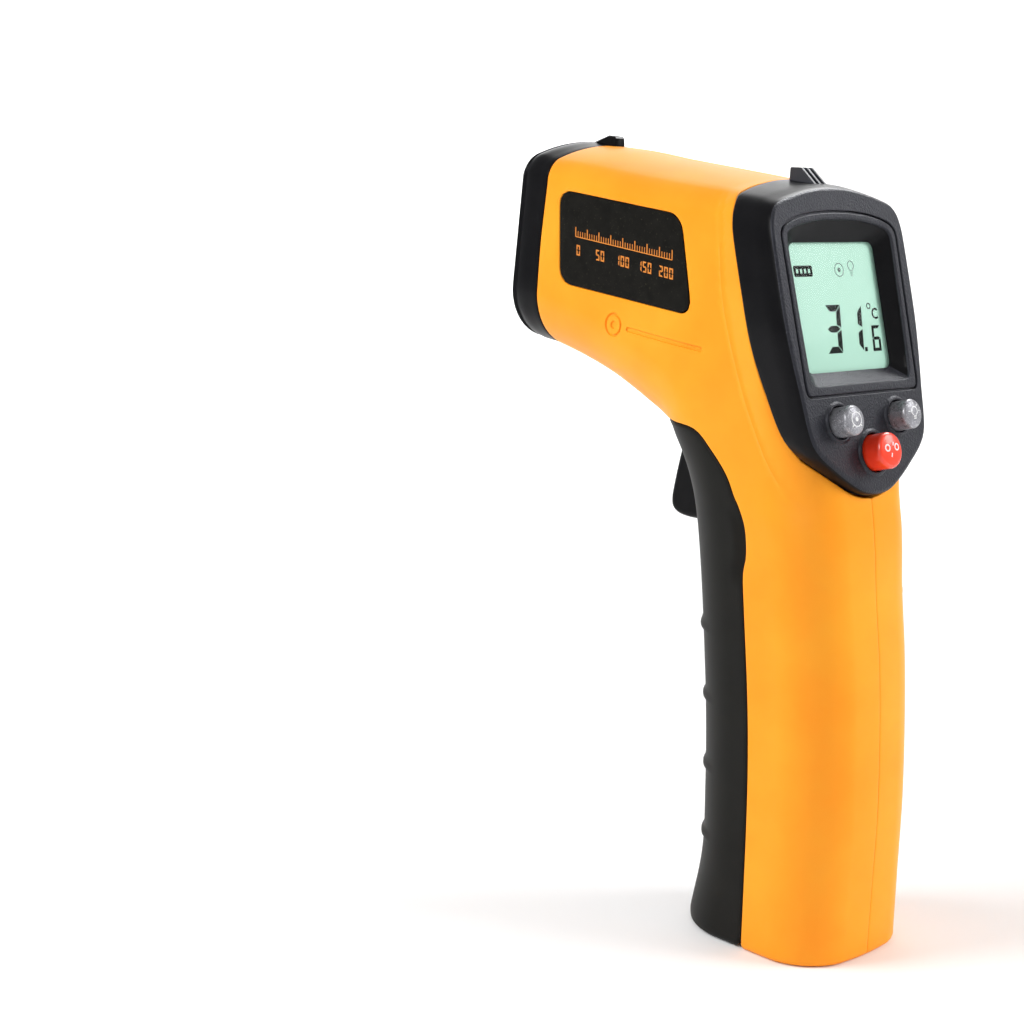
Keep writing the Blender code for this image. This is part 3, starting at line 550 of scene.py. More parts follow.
# ---- meshes, pieces and materials -----------------------------------------------------------------
def piece(name, shape, body, material, replaces, slot, angle=40, merge=1e-4):
    """A visible piece from (points, polygons) in design millimetres."""
    points, faces = shape
    mesh = bpy.data.meshes.new(name)
    placed = (np.asarray(points, float) + (0, FRAME_Y, 0)) * MM
    mesh.from_pydata([tuple(p) for p in placed], [], [tuple(f) for f in faces])
    bm = bmesh.new()
    bm.from_mesh(mesh)
    if merge:
        bmesh.ops.remove_doubles(bm, verts=bm.verts, dist=merge * MM)
    bmesh.ops.dissolve_degenerate(bm, edges=bm.edges, dist=1e-4 * MM)
    bm.to_mesh(mesh)
    bm.free()
    mesh.shade_smooth()
    mesh.set_sharp_from_angle(angle=math.radians(angle))
    mesh.materials.append(material)
    item = bpy.data.objects.new(name, mesh)
    bpy.context.scene.collection.objects.link(item)
    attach(item, body)
    if replaces:
        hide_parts(*replaces)
    return item


def turned(profile, origin, out, steps=48):
    """Points and polygons of a (radius, height) profile turned about `out`."""
    matrix = Vector(out).to_track_quat('Z', 'Y').to_matrix()
    points, faces, rows = [], [], []
    for radius, height in profile:
        if radius < 1e-6:
            rows.append([len(points)] * steps)
            points.append(np.array(matrix @ Vector((0, 0, height))) + origin)
            continue
        row = []
        for k in range(steps):
            t = math.tau * k / steps
            row.append(len(points))
            points.append(np.array(matrix @ Vector((radius * math.cos(t), radius * math.sin(t),
                                                    height))) + origin)
        rows.append(row)
    for near, far in zip(rows, rows[1:]):
        for k in range(steps):
            j = (k + 1) % steps
            ring = []
            for index in (near[k], far[k], far[j], near[j]):
                if index not in ring:
                    ring.append(index)
            if len(ring) > 2:
                faces.append(tuple(ring))
    return np.array(points), faces


def joined(*parts):
    """Several (points, polygons) pairs as one."""
    points, faces, base = [], [], 0
    for p, f in parts:
        points.append(np.asarray(p, float))
        faces += [tuple(i + base for i in face) for face in f]
        base += len(p)
    return np.vstack(points), faces


def strips(rings, cap_start=False, cap_end=False):
    """A closed skin through rings of points in space."""
    count = len(rings[0])
    faces = grid_faces(len(rings), count, closed=True)
    faces = [tuple(reversed(f)) for f in faces]
    if cap_start:
        faces.append(tuple(range(count)))
    if cap_end:
        faces.append(tuple(reversed(range((len(rings) - 1) * count, len(rings) * count))))
    return np.vstack(rings), faces


def outward(shape, turn):
    """A stack of rings with its polygons turned outwards, by the way that its outline runs."""
    points, faces = shape
    return points, faces if turn > 0 else [tuple(reversed(f)) for f in faces]


# ---- materials ----------------------------------------------------------------------------------
def fill(node, **values):
    """Set a node's sockets; an underscore in a name stands for a space."""
    for name, value in values.items():
        node.inputs[name.replace("_", " ")].default_value = value


def finish(name, colour, roughness, second, mottle=90.0, grain=None, specular=0.5, metallic=0.0,
           rough_span=0.06, coat=0.0, sheen=0.0, alpha=1.0, emission=0.0, speckle=None,
           gloss_tint=(1, 1, 1)):
    """A procedural finish: two close colours mottled by noise, uneven gloss and a fine grain.
    grain is (scale per metre, strength, depth in metres); speckle is (scale, colour, threshold)."""
    made = bpy.data.materials.new(name)
    made.use_nodes = True
    nodes, links = made.node_tree.nodes, made.node_tree.links
    shader = nodes["Principled BSDF"]
    fill(shader, Metallic=metallic, Specular_IOR_Level=specular, Alpha=alpha,
         Specular_Tint=(*gloss_tint, 1))
    if coat:
        fill(shader, Coat_Weight=coat, Coat_Roughness=0.12)
    if sheen:
        fill(shader, Sheen_Weight=sheen, Sheen_Roughness=0.5)
    place = nodes.new("ShaderNodeTexCoord").outputs["Object"]

    def noise(scale, detail):
        node = nodes.new("ShaderNodeTexNoise")
        fill(node, Scale=scale, Detail=detail)
        links.new(place, node.inputs["Vector"])
        return node.outputs["Fac"]

    def ramp(source, *stops):
        node = nodes.new("ShaderNodeValToRGB")
        for element, (position, tint) in zip(node.color_ramp.elements, stops):
            element.position, element.color = position, (*tint, 1)
        links.new(source, node.inputs["Fac"])
        return node.outputs["Color"]

    cloud = noise(mottle, 4.0)
    tint = ramp(cloud, (0.3, colour), (0.7, second))
    if speckle:
        scale, fleck, threshold = speckle
        mix = nodes.new("ShaderNodeMix")
        mix.data_type = 'RGBA'
        mix.inputs["B"].default_value = (*fleck, 1)
        share = ramp(noise(scale, 1.0), (threshold, (0, 0, 0)), (threshold + 0.1, (1, 1, 1)))
        links.new(share, mix.inputs["Factor"])
        links.new(tint, mix.inputs["A"])
        tint = mix.outputs["Result"]
    links.new(tint, shader.inputs["Base Color"])
    if emission:
        links.new(tint, shader.inputs["Emission Color"])
        fill(shader, Emission_Strength=emission)
    span = nodes.new("ShaderNodeMapRange")
    fill(span, To_Min=roughness - rough_span / 2, To_Max=roughness + rough_span / 2)
    links.new(cloud, span.inputs["Value"])
    links.new(span.outputs["Result"], shader.inputs["Roughness"])
    if grain:
        scale, strength, depth = grain
        bump = nodes.new("ShaderNodeBump")
        fill(bump, Strength=strength, Distance=depth)
        links.new(noise(scale, 2.0), bump.inputs["Height"])
        links.new(bump.outputs["Normal"], shader.inputs["Normal"])
    return made


ORANGE = finish("orange_abs", (0.98, 0.315, 0.013), 0.42, (0.95, 0.365, 0.020), 60, (2600, 0.10, 2e-5),
                0.17, rough_span=0.08)
BLACK = finish("black_abs", (0.004, 0.004, 0.005), 0.30, (0.006, 0.006, 0.007), 150,
               (3000, 0.35, 3e-5), 0.10, rough_span=0.08)
SIGHT = finish("sight_abs", (0.045, 0.047, 0.055), 0.42, (0.055, 0.057, 0.066), 150,
               (3000, 0.4, 3e-5), 0.2)
FACE_BLACK = finish("black_face", (0.008, 0.008, 0.0115), 0.38, (0.012, 0.012, 0.016), 200,
                    (2700, 1.0, 1.3e-4), 0.36, rough_span=0.1, gloss_tint=(0.86, 0.89, 1.0))
GRIP = finish("soft_grip", (0.009, 0.0086, 0.0076), 0.50, (0.012, 0.0116, 0.010), 120,
              (4200, 0.35, 3e-5), 0.10, sheen=0.02)
TRIGGER = finish("trigger_abs", (0.004, 0.004, 0.0045), 0.40, (0.006, 0.006, 0.0065), 150,
                 (3200, 0.35, 3e-5), 0.08)
LABEL = finish("label_film", (0.006, 0.0058, 0.005), 0.42, (0.010, 0.0095, 0.008), 420,
               (5200, 0.5, 3e-5), 0.06, rough_span=0.14, speckle=(2300, (0.03, 0.027, 0.018), 0.66))
MARK = finish("orange_ink", (0.62, 0.19, 0.018), 0.5, (0.75, 0.25, 0.025), 1400)
GREY_KEY = finish("grey_key", (0.20, 0.20, 0.218), 0.28, (0.28, 0.28, 0.305), 700, (4200, 0.35, 2e-5),
                  0.5, metallic=0.3, speckle=(5200, (0.60, 0.60, 0.64), 0.58))
RED_KEY = finish("red_key", (0.92, 0.036, 0.009), 0.24, (0.97, 0.050, 0.013), 260, (2400, 0.08, 2e-5),
                 0.5, coat=0.3)
WHITE_INK = finish("white_ink", (0.70, 0.70, 0.72), 0.5, (0.8, 0.8, 0.8), 1500)
LCD = finish("lcd_glass", (0.395, 0.67, 0.538), 0.32, (0.43, 0.705, 0.578), 45, None, 0.2,
             emission=0.12)
SEGMENT = finish("lcd_segment", (0.003, 0.004, 0.004), 0.5, (0.004, 0.006, 0.005), 800, specular=0.05)
FAINT = finish("lcd_faint", (0.07, 0.12, 0.10), 0.4, (0.09, 0.14, 0.12), 800)
PANE = finish("clear_pane", (0.10, 0.12, 0.11), 0.05, (0.12, 0.14, 0.13), 60, None, 0.5, alpha=0.05,
              rough_span=0.02)
STEEL = finish("bright_steel", (0.52, 0.52, 0.53), 0.28, (0.6, 0.6, 0.61), 700,
               (1800, 0.1, 1e-5), 0.5, 1.0)
BRASS = finish("turned_brass", (0.62, 0.44, 0.17), 0.28, (0.7, 0.5, 0.2), 700,
               (1800, 0.1, 1e-5), 0.5, 1.0)
DARK = finish("inner_abs", (0.016, 0.016, 0.017), 0.55, (0.02, 0.02, 0.021), 300, (2000, 0.3, 3e-5))
BOARD = finish("solder_resist", (0.012, 0.09, 0.03), 0.42, (0.016, 0.12, 0.04), 500, (1500, 0.2, 3e-5))
DIFFUSER = finish("light_guide", (0.75, 0.78, 0.74), 0.5, (0.8, 0.83, 0.79), 200, (1500, 0.2, 2e-5))
LENS = finish("infrared_lens", (0.02, 0.014, 0.03), 0.12, (0.035, 0.02, 0.045), 200, None, 0.9,
              coat=0.4)
SLEEVE = finish("cell_sleeve", (0.025, 0.03, 0.09), 0.3, (0.03, 0.036, 0.11), 150, (900, 0.15, 3e-5),
                0.6, coat=0.3)
RED_WIRE = finish("red_pvc", (0.5, 0.012, 0.01), 0.45, (0.56, 0.02, 0.015), 700, (2500, 0.2, 2e-5))
GREY_WIRE = finish("grey_pvc", (0.24, 0.24, 0.25), 0.5, (0.28, 0.28, 0.29), 700, (2500, 0.2, 2e-5))
for slots, material in (
        (("lens_tube", "battery_tray", "trigger_switch", "laser_switch", "backlight_switch",
          "unit_switch", "battery_lead_black"), DARK),
        (("main_pcb", "sensor_pcb"), BOARD), (("backlight",), DIFFUSER),
        (("ir_lens",), LENS), (("cell_left", "cell_right"), SLEEVE), (("laser_module",), BRASS),
        (("laser_window",), PANE), (("battery_lead_red",), RED_WIRE), (("sensor_lead",), GREY_WIRE),
        (("trigger_pin", "thermopile_sensor", "door_hinge_pin",
          "contact_spring_lower", "contact_spring_upper", "contact_plate_upper",
          "contact_plate_lower", "casing_screw_1", "casing_screw_2", "casing_screw_3",
          "casing_screw_4", "casing_screw_5"), STEEL)):
    for node in slots:
        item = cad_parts[node]
        item.data.materials.clear()
        item.data.materials.append(material)


FACE_UP = np.array((0.0, math.sin(FACE_TILT), math.cos(FACE_TILT)))
FACE_OUT = np.cross((1.0, 0.0, 0.0), FACE_UP)
BARREL = np.array((0.0, math.cos(BARREL_TILT), math.sin(BARREL_TILT)))
RING = 160


def on_face(outline, level):
    outline = np.asarray(outline, float)
    return (LCD_CENTRE + outline[:, :1] * (1, 0, 0) + outline[:, 1:2] * FACE_UP
            + FACE_OUT * level)


def smooth_loop(half):
    return resample(catmull(mirrored(half), 6, closed=True), RING)


def inward(outline):
    """Steps of 1 mm into an outline that starts at its highest point."""
    step = offset(outline, 1.0) - outline
    return -step if step[0][1] > 0 else step


def shield_outlines():
    """The shield's outline on the face and the way it grows."""
    shield = smooth_loop(SHIELD_HALF)
    left = -inward(shield)
    return shield, left * (1 + 0.6 * np.clip(-left[:, 1:2], 0, 1) - 0.3 * np.clip(left[:, 1:2], 0, 1))


SHIELD_GROWTH = 1.4
shield_line, shield_grow = shield_outlines()


def travel_of(points):
    """How far points lie from the plate along the barrel."""
    return (PLATE - (points - LCD_CENTRE) @ FACE_OUT) / -(BARREL @ FACE_OUT)


def flat_place(points, travel):
    """Where points lie on the face when they are moved back to it along the barrel."""
    flat = points - LCD_CENTRE - np.outer(travel, BARREL)
    return np.column_stack((flat[:, 0], flat @ FACE_UP))


def outside_surround(points):
    """Distance ahead of the surround's seam, or outside its sides where the body is wider."""
    ahead = line_distance(bezel_line, yz(points)) - GAP / 2 - SEAM_ROUND
    around = line_distance(shield_line + shield_grow * SHIELD_GROWTH,
                           flat_place(points, travel_of(points)), closed=True)
    around = around - GAP / 2 - SEAM_ROUND
    return np.where(points[:, 2] > 107.4, ahead, np.maximum(ahead, around))


# ---- casings ----------------------------------------------------------------------------------
CREASE_LINE = ((17.0, 158.0), (9.9, 149.5), (7.8, 146.0), (7.1, 138.4), (6.0, 127.6), (3.4, 117.8),
               (0.2, 107.2), (-3.6, 98.2), (-8.2, 91.2), (-14.0, 84.5), (-20.0, 79.0))
CREASE_SINK = 1.25        # how far the crease lies below the plain form
CREASE_BEAD = 0.65        # half width of the fine ridge along the crease
CREASE_RISE = 0.34        # and its height
CREASE_REACH = 16.0       # distance ahead of the crease over which the form comes back
BAR = ((31.1, 120.9), (10.4, 117.8))
BAR_HALF = 0.52
SPOT = (34.8, 121.6)
SPOT_RING = 2.15
SPOT_WIDTH = 0.3
SPOT_DOT = 0.85
RECESS = 0.3


crease_line = catmull(CREASE_LINE, 4)


def sculpt(skin):
    """The crease ahead of the display surround: the form flares out again behind it."""
    for place in (-CREASE_BEAD, 0.0, CREASE_BEAD):
        skin.cut(lambda p: line_distance(crease_line, yz(p)) - place, keep_both=True)
    ahead = line_distance(crease_line, yz(skin.points))
    behind = np.clip(line_distance(bezel_line, yz(skin.points)), 0, None)
    between = behind / np.maximum(behind - ahead, 1e-6)
    sink = np.where(ahead < 0, CREASE_SINK * between,
                    CREASE_SINK * np.clip(1 - ahead / CREASE_REACH, 0, 1) ** 2)
    sink -= CREASE_RISE * np.clip(1 - np.abs(ahead) / CREASE_BEAD, 0, 1)
    height = np.clip((skin.points[:, 2] - 84) / 9.0, 0, 1)
    sideways = np.clip(1.3 * np.abs(skin.normals[:, 0]) - 0.25, 0, 1)
    skin.push(-sink * sideways * height * height * (3 - 2 * height))


def bar_outline():
    a, b = (np.array(p) for p in BAR)
    run = (b - a) / np.linalg.norm(b - a)
    out = np.array((-run[1], run[0])) * BAR_HALF
    return rounded([a + out, b + out, b - out, a - out], 0.45, 3)


def engrave_ring(skin):
    """The moulded spot mark: a sunk ring round a sunk dot."""
    def level(points):
        reach = np.hypot(points[:, 1] - SPOT[0], points[:, 2] - SPOT[1])
        return np.minimum(np.abs(reach - SPOT_RING) - SPOT_WIDTH, reach - SPOT_DOT)

    sink(skin, level)


def engrave_bar(skin):
    outline = bar_outline()
    sink(skin, lambda points: line_distance(outline, yz(points), closed=True))


def sink(skin, level):
    """Sink the part of a skin where level is negative, with sloping walls."""
    skin.cut(level, keep_both=True, snap=0.2)
    skin.cut(lambda p: level(p) + 0.14, keep_both=True, snap=0.2)
    d = level(skin.points)
    skin.push(-RECESS * np.clip(-d / 0.14, 0, 1))


def casing(name, side):
    fine_rows = ((4.3, 5.4, 0.2), (5.4, 9.6, 0.5)) if side < 0 else ()
    fine_columns = ((2.60, 2.82, 0.02), (2.82, 3.13, 0.01)) if side < 0 else ()
    skin = body_skin(side, even_places(0.0, 20.0, 1.15, fine_rows),
                     columns_of(fine=fine_columns), base=True)
    sculpt(skin)
    if side < 0:
        engrave_bar(skin)
        engrave_ring(skin)
    skin.seam(nose_line, -1)
    skin.cut(outside_surround, radius=SEAM_ROUND)
    skin.seam(door_line, -1)
    skin.cut(lambda p: side * p[:, 0] - 0.04 - MOULD_ROUND, radius=MOULD_ROUND)
    skin.cut(lambda p: np.where(side * p[:, 0] > 9, line_distance(label_line, yz(p), closed=True),
                                9.0) - 0.25, radius=0.25)
    if side > 0:
        for y, z in SCREW_HOLES:
            skin.cut(lambda p: np.where(p[:, 0] > 5, np.hypot(p[:, 1] - y, p[:, 2] - z) - 2.65, 1.0),
                     radius=0.2, snap=0.2)
    parts = [skin.solid()]
    if side > 0:
        for y, z in SCREW_HOLES:
            reach = 0.0 if z > 100 else -1.6
            parts.append(turned([(r, h + (reach if h > 10 else 0)) for r, h in SCREW_BORE],
                                np.array((0.0, y, z)), (1, 0, 0), 32))
    piece(name, joined(*parts), "casing", ORANGE, (name.replace("casing", "shell"),),
          "orange_plastic", angle=34)


casing("casing_left", -1)
casing("casing_right", 1)


def label(name, side):
    skin = body_skin(side, even_places(1.5, 10.0, 1.3), columns_of())
    skin.cut(lambda p: -line_distance(label_line, yz(p), closed=True) - 0.22, radius=0.12)
    skin.points = skin.points - skin.normals * 0.12
    piece(name + "_film", skin.solid(wall=0.9), "casing", LABEL, (name,), "label_film", angle=34)


label("label_left", -1)
label("label_right", 1)


NOSE_ROUND = 1.2                  # edge radius round the front of the nose
LENS_HEIGHT = 17.4
LENS_MOUTH = ((10.6, 0.0), (10.2, 0.35), (9.6, 0.35), (9.2, 0.0), (8.6, -0.6), (7.4, -2.0),
              (6.35, -3.0), (6.2, -3.3), (6.2, -7.3))         # radius and level of each step
FRONT_SIGHT = ((52.7, 157.5), (52.6, 159.4), (53.0, 159.8), (54.7, 160.1), (59.6, 158.8),
               (59.9, 158.4), (59.8, 157.0))
LASER_HEIGHT = 31.7
LASER_RADIUS = 2.6
LASER_BORE = ((2.45, 0.0), (2.45, -4.5), (3.4, -4.5), (3.4, -1.0), (2.45, 0.0))


def nose_cap():
    parts = []
    for side in (-1, 1):
        columns = columns_of(roof=22)
        places = np.concatenate((np.linspace(0.0, 1.0, 6)[1:], even_places(1.0, 4.0, 1.1)[1:]))
        rows = station_rows(np.concatenate(((0.35,), places[places > 0.35])))
        rings = [half_ring(row, columns, side) for row in rows]
        face_row = STATIONS[0]
        under, upper = face_row[:2], face_row[2:4]
        rise = (upper - under) / np.hypot(*(upper - under))
        out = np.array((0.0, rise[1], -rise[0]))
        front = []
        for turn in (90, 72, 54, 36, 18, 0):
            t = math.radians(turn)
            ring = half_ring(face_row, columns, side, NOSE_ROUND * (1 - math.cos(t)) if turn else 0.0)
            front.append(ring - out * NOSE_ROUND * (1 - math.sin(t)))
        inner = front[0]
        centre = np.array((0.0, *(under + rise * LENS_HEIGHT)))
        angles = np.linspace(0, math.pi, len(columns))
        for share, radius, level in (*((0.08 * k, *LENS_MOUTH[0]) for k in range(1, 12)),
                                     *((1.0, *step) for step in LENS_MOUTH)):
            circle = np.array([centre + np.array((side * math.sin(a), 0, 0)) * radius
                               + np.array((0, *rise)) * math.cos(a) * radius
                               + out * level for a in angles])
            front.insert(0, inner * (1 - share) + circle * share)
        skin = Skin(np.vstack(front + rings), grid_faces(len(front) + len(rings), len(columns)))
        if side > 0:
            skin.flip()
        if skin.normals[(len(front) + 4) * len(columns) + len(columns) // 2] @ (side, 0, 0) < 0:
            skin.flip()
        skin.seam(nose_line, 1)
        laser = np.array((0.0, *(under + rise * LASER_HEIGHT)))

        def laser_level(points):
            rel = points - laser
            rel = rel - np.outer(rel @ out, out)
            return np.where(points[:, 1] > 62.0, np.linalg.norm(rel, axis=1) - LASER_RADIUS, 1.0)

        skin.cut(laser_level, radius=0.2, snap=0.2)
        parts.append(skin)
    laser_bore = turned(LASER_BORE, laser - out * 0.2, out, 32)
    sight = sight_block(FRONT_SIGHT, 1.5, 0.3)
    skin = welded(*parts, 1e-6, 4)
    piece("nose_ring", joined(skin.solid(wall=1.5), laser_bore, sight), "casing", BLACK, ("nose_cap",),
          "black_plastic", angle=38)


def sight_block(outline, half, edge):
    """A small block from a side outline with softened sides."""
    outline = np.array(outline)
    turn = turning(outline)
    small = offset(outline, math.copysign(edge, turn))
    stack = ((-half, small), (-half + edge, outline), (half - edge, outline), (half, small))
    rings = [np.column_stack((np.full(len(ring), x), ring)) for x, ring in stack]
    return outward(strips(rings, True, True), turn)


nose_cap()


# ---- display surround -------------------------------------------------------------------------
EDGE_STEPS = [(0.0, 0.0), (0.04, 0.24), (0.16, 0.46), (0.36, 0.66), (0.66, 0.83), (1.1, 0.98),
              (1.7, 1.13), (2.4, 1.27), (3.2, SHIELD_GROWTH)]   # travel along the barrel and growth
EDGE_STEPS += [(3.2 + 1.05 * k, SHIELD_GROWTH) for k in range(1, 16)]
GROOVE_STEPS = ((0.0, 0.0), (0.12, -0.1), (0.2, -0.5), (0.5, -0.5), (0.58, -0.12), (0.75, 0.02))
WINDOW_ROUND = 0.45
KEY_RIM = ((1.15, 0.0), (0.95, 0.16), (0.8, 0.34), (0.55, 0.42), (0.38, 0.36), (0.27, 0.1),
           (0.25, -3.0))          # distance from the key and height of each step
DARK_WALL = 2.6                   # width of the surround's wall that has the smooth black finish
groove_line, window_line = smooth_loop(GROOVE_HALF), smooth_loop(WINDOW_HALF)


def surround_wall(rings):
    """The surround's rounded edge and its wall, back to the seam."""
    side = Skin(np.vstack(rings), grid_faces(len(rings), RING, closed=True))
    if side.normals[RING * 6][2] < 0:
        side.flip()
    side.seam(bezel_line, -1)
    front = {tuple(np.round(p, 5)) for p in rings[0]}
    side.round[[tuple(np.round(p, 5)) in front for p in side.points]] = 0.0
    return side.solid(wall=1.6)


def window_recess():
    """The groove round the window, the window's rounded edge and the walls down to the display."""
    width, height, radius = LCD_VIEW
    w, h = width / 2, height / 2
    view = rounded(((w, h), (w, -h), (-w, -h), (-w, h)), radius, 6)
    turns = [(math.atan2(x, v) + math.tau) % math.tau for x, v in view]
    view = resample(np.vstack(((0.0, h), view[np.argsort(turns)])), RING)
    groove_in, window_in = inward(groove_line), inward(window_line)
    levels = [(groove_line + groove_in * step, PLATE + rise) for step, rise in GROOVE_STEPS]
    for t in np.radians((0, 20, 45, 70, 90)):
        levels.append((window_line - window_in * WINDOW_ROUND * (1 - math.sin(t)),
                       PLATE + 0.02 - WINDOW_ROUND * (1 - math.cos(t))))
    for share in (0.2, 0.4, 0.6, 0.8, 1.0):
        levels.append((window_line * (1 - share) + view * share,
                       (PLATE - 0.43) * (1 - share) - 0.02 * share))
    levels.append((view, -0.25))
    return strips([on_face(outline, level) for outline, level in levels])


def filled(loops):
    """The flat of the face between closed loops of points."""
    bm = bmesh.new()
    edges = []
    for loop in loops:
        verts = [bm.verts.new(p) for p in loop]
        edges += [bm.edges.new(pair) for pair in zip(verts, verts[1:] + verts[:1])]
    bmesh.ops.triangle_fill(bm, use_beauty=True, use_dissolve=False, edges=edges,
                            normal=Vector(FACE_OUT))
    bm.verts.index_update()
    points = np.array([v.co for v in bm.verts])
    faces = [tuple(v.index for v in f.verts)[::1 if f.normal @ Vector(FACE_OUT) >= 0 else -1]
             for f in bm.faces]
    bm.free()
    return points, faces


def facing(shape):
    """A shape with its polygons turned so that most look out of the face."""
    p, faces = shape
    return outward(shape, sum(np.cross(p[q[1]] - p[q[0]], p[q[2]] - p[q[0]]) @ FACE_OUT
                              for q in faces))


def darken(item):
    """Give the outer wall a smoother black than the face. In the window's recess the top and side walls
    get this darker black as painted shade, and the lower lip keeps the face's lighter grained finish as
    painted light.
    """
    item.data.materials.append(BLACK)
    centres = np.array([polygon.center for polygon in item.data.polygons]) / MM - (0, FRAME_Y, 0)
    travel = travel_of(centres)
    spots = flat_place(centres, travel)
    outer = (np.abs(line_distance(shield_line, spots, closed=True)) < DARK_WALL) & (travel > 0.5)
    level = (centres - LCD_CENTRE) @ FACE_OUT
    face = flat_place(centres, np.zeros(len(centres)))
    inside = (line_distance(window_line, face, closed=True) < -0.05) & (level < PLATE - 0.3)
    lit_lower_lip = -face[:, 1] - LCD_VIEW[1] / 2 > np.abs(face[:, 0]) - LCD_VIEW[0] / 2
    # recess top and side walls: the darker black as painted shade; the lower lip: the lighter face
    # finish as painted light
    for polygon, dark in zip(item.data.polygons, outer | (inside & ~lit_lower_lip)):
        polygon.material_index = int(dark)


def surround():
    rings = [on_face(shield_line + shield_grow * growth, PLATE) + BARREL * travel
             for travel, growth in EDGE_STEPS]
    loops, rims = [rings[0], on_face(groove_line, PLATE)], []
    angles = np.linspace(0, math.tau, 49)[:-1]
    circle = np.column_stack((np.cos(angles), np.sin(angles)))
    for x, v, key_radius, _ in (SIDE_KEY, OTHER_KEY, UNIT_KEY):
        made = [on_face(circle * (key_radius + extra) + (x, v), PLATE + rise)
                for extra, rise in KEY_RIM]
        loops.append(made[0])
        rims.append(facing(strips(made)))
    shape = joined(surround_wall(rings), filled(loops), facing(window_recess()), *rims)
    darken(piece("display_surround", shape, "casing", FACE_BLACK, ("display_bezel",),
                 "black_plastic", angle=38, merge=2e-3))


surround()


REAR_SIGHT = ((4.8, 148.0), (4.5, 151.9), (2.3, 151.7), (-1.0, 148.6), (-1.0, 147.6))
REAR_RIDGE = ((4.85, 148.0), (4.6, 151.9), (4.35, 152.15), (2.0, 151.98), (1.75, 151.85),
              (-1.5, 148.75), (-1.2, 147.6))


def rear_sight():
    """A low block with three ridges along it."""
    parts = [sight_block(REAR_SIGHT, 1.9, 0.2)]
    points, faces = sight_block(REAR_RIDGE, 0.36, 0.12)
    parts += [(points + (x, 0, 0), faces) for x in (-1.75, -0.2, 1.35)]
    piece("rear_sight", joined(*parts), "casing", SIGHT, (), "black_plastic", angle=30)


rear_sight()


# ---- battery door (the grip) --------------------------------------------------------------------
SLOT_HALF = 5.4
SLOT_FLOOR = 79.5
DOOR_ROUND = 0.55
DOOR_SINK = 0.12                  # how far the door lies below the orange shells
NOTCH = (80.6, 7.4, 1.5)          # height, half length and depth of the thumb notch
NOTCH_REACH = 2.8                 # distance from the seam over which it fades out
KNUCKLE = ((0, 15.0), (1.2, 15.0), (1.65, 14.6), (1.65, 13.2), (1.4, 12.9), (0, 12.9))
KNUCKLE_PLACE = np.array((0.0, 2.45, 2.1))

RIB_RISE = 0.55
RIB_HALF = (14.6, 1.15)           # half width and half height of a finger rib
RIB_ROWS = ((15.65, 15.88, 0.24), (16.67, 16.87, 0.24), (17.62, 17.82, 0.24), (18.57, 18.77, 0.24))
HEEL = 3.2                        # corner radius at the foot of the grip


def rib_rise(skin):
    """Height of the finger ribs, which wrap round the front corners and fade out."""
    x, z = np.abs(skin.points[:, 0]), skin.points[:, 2]
    across = np.clip((RIB_HALF[0] - x) / 2.2, 0, 1) * np.clip(4 * skin.normals[:, 1] - 0.4, 0, 1)
    rise = np.zeros(len(z))
    for height in RIB_HEIGHTS:
        rise = np.maximum(rise, np.clip(1 - ((z - height) / RIB_HALF[1]) ** 2, 0, 1) ** 0.7)
    return RIB_RISE * rise * across


def door_level(points):
    """Distance inside the door's seam, with its heel rounded at the foot."""
    level = line_distance(door_line, yz(points)) - GAP / 2 - DOOR_ROUND
    y, z = points[:, 1] - 0.3 - GAP / 2 - DOOR_ROUND - HEEL, points[:, 2] - HEEL
    return np.where((y < 0) & (z < 0), np.minimum(level, HEEL - np.hypot(y, z)), level)


def grip():
    parts = []
    for side in (-1, 1):
        skin = body_skin(side, even_places(5.0, 20.0, 1.1, RIB_ROWS), columns_of(5, 5, 22, 18, 7),
                         base=True)
        height, half, depth = NOTCH
        bump = np.clip(1 - ((skin.points[:, 2] - height) / half) ** 2, 0, 1)
        reach = np.clip(1 - line_distance(door_line, yz(skin.points)) / NOTCH_REACH, 0, 1)
        skin.push(-depth * bump * reach - DOOR_SINK)
        skin.push(rib_rise(skin))
        skin.cut(door_level, radius=DOOR_ROUND)
        skin.cut(lambda p: np.maximum(np.abs(p[:, 0]) - SLOT_HALF, SLOT_FLOOR - p[:, 2]) - 0.5,
                 radius=0.5)
        parts.append(skin)
    knuckles = [turned(KNUCKLE, KNUCKLE_PLACE, (side, 0, 0), 28) for side in (-1, 1)]
    skin = welded(*parts, 2e-3, 3)
    piece("grip_door", joined(skin.solid(wall=1.5), *knuckles), "battery_door", GRIP, ("battery_door",),
          "grip_rubber", angle=36)


grip()


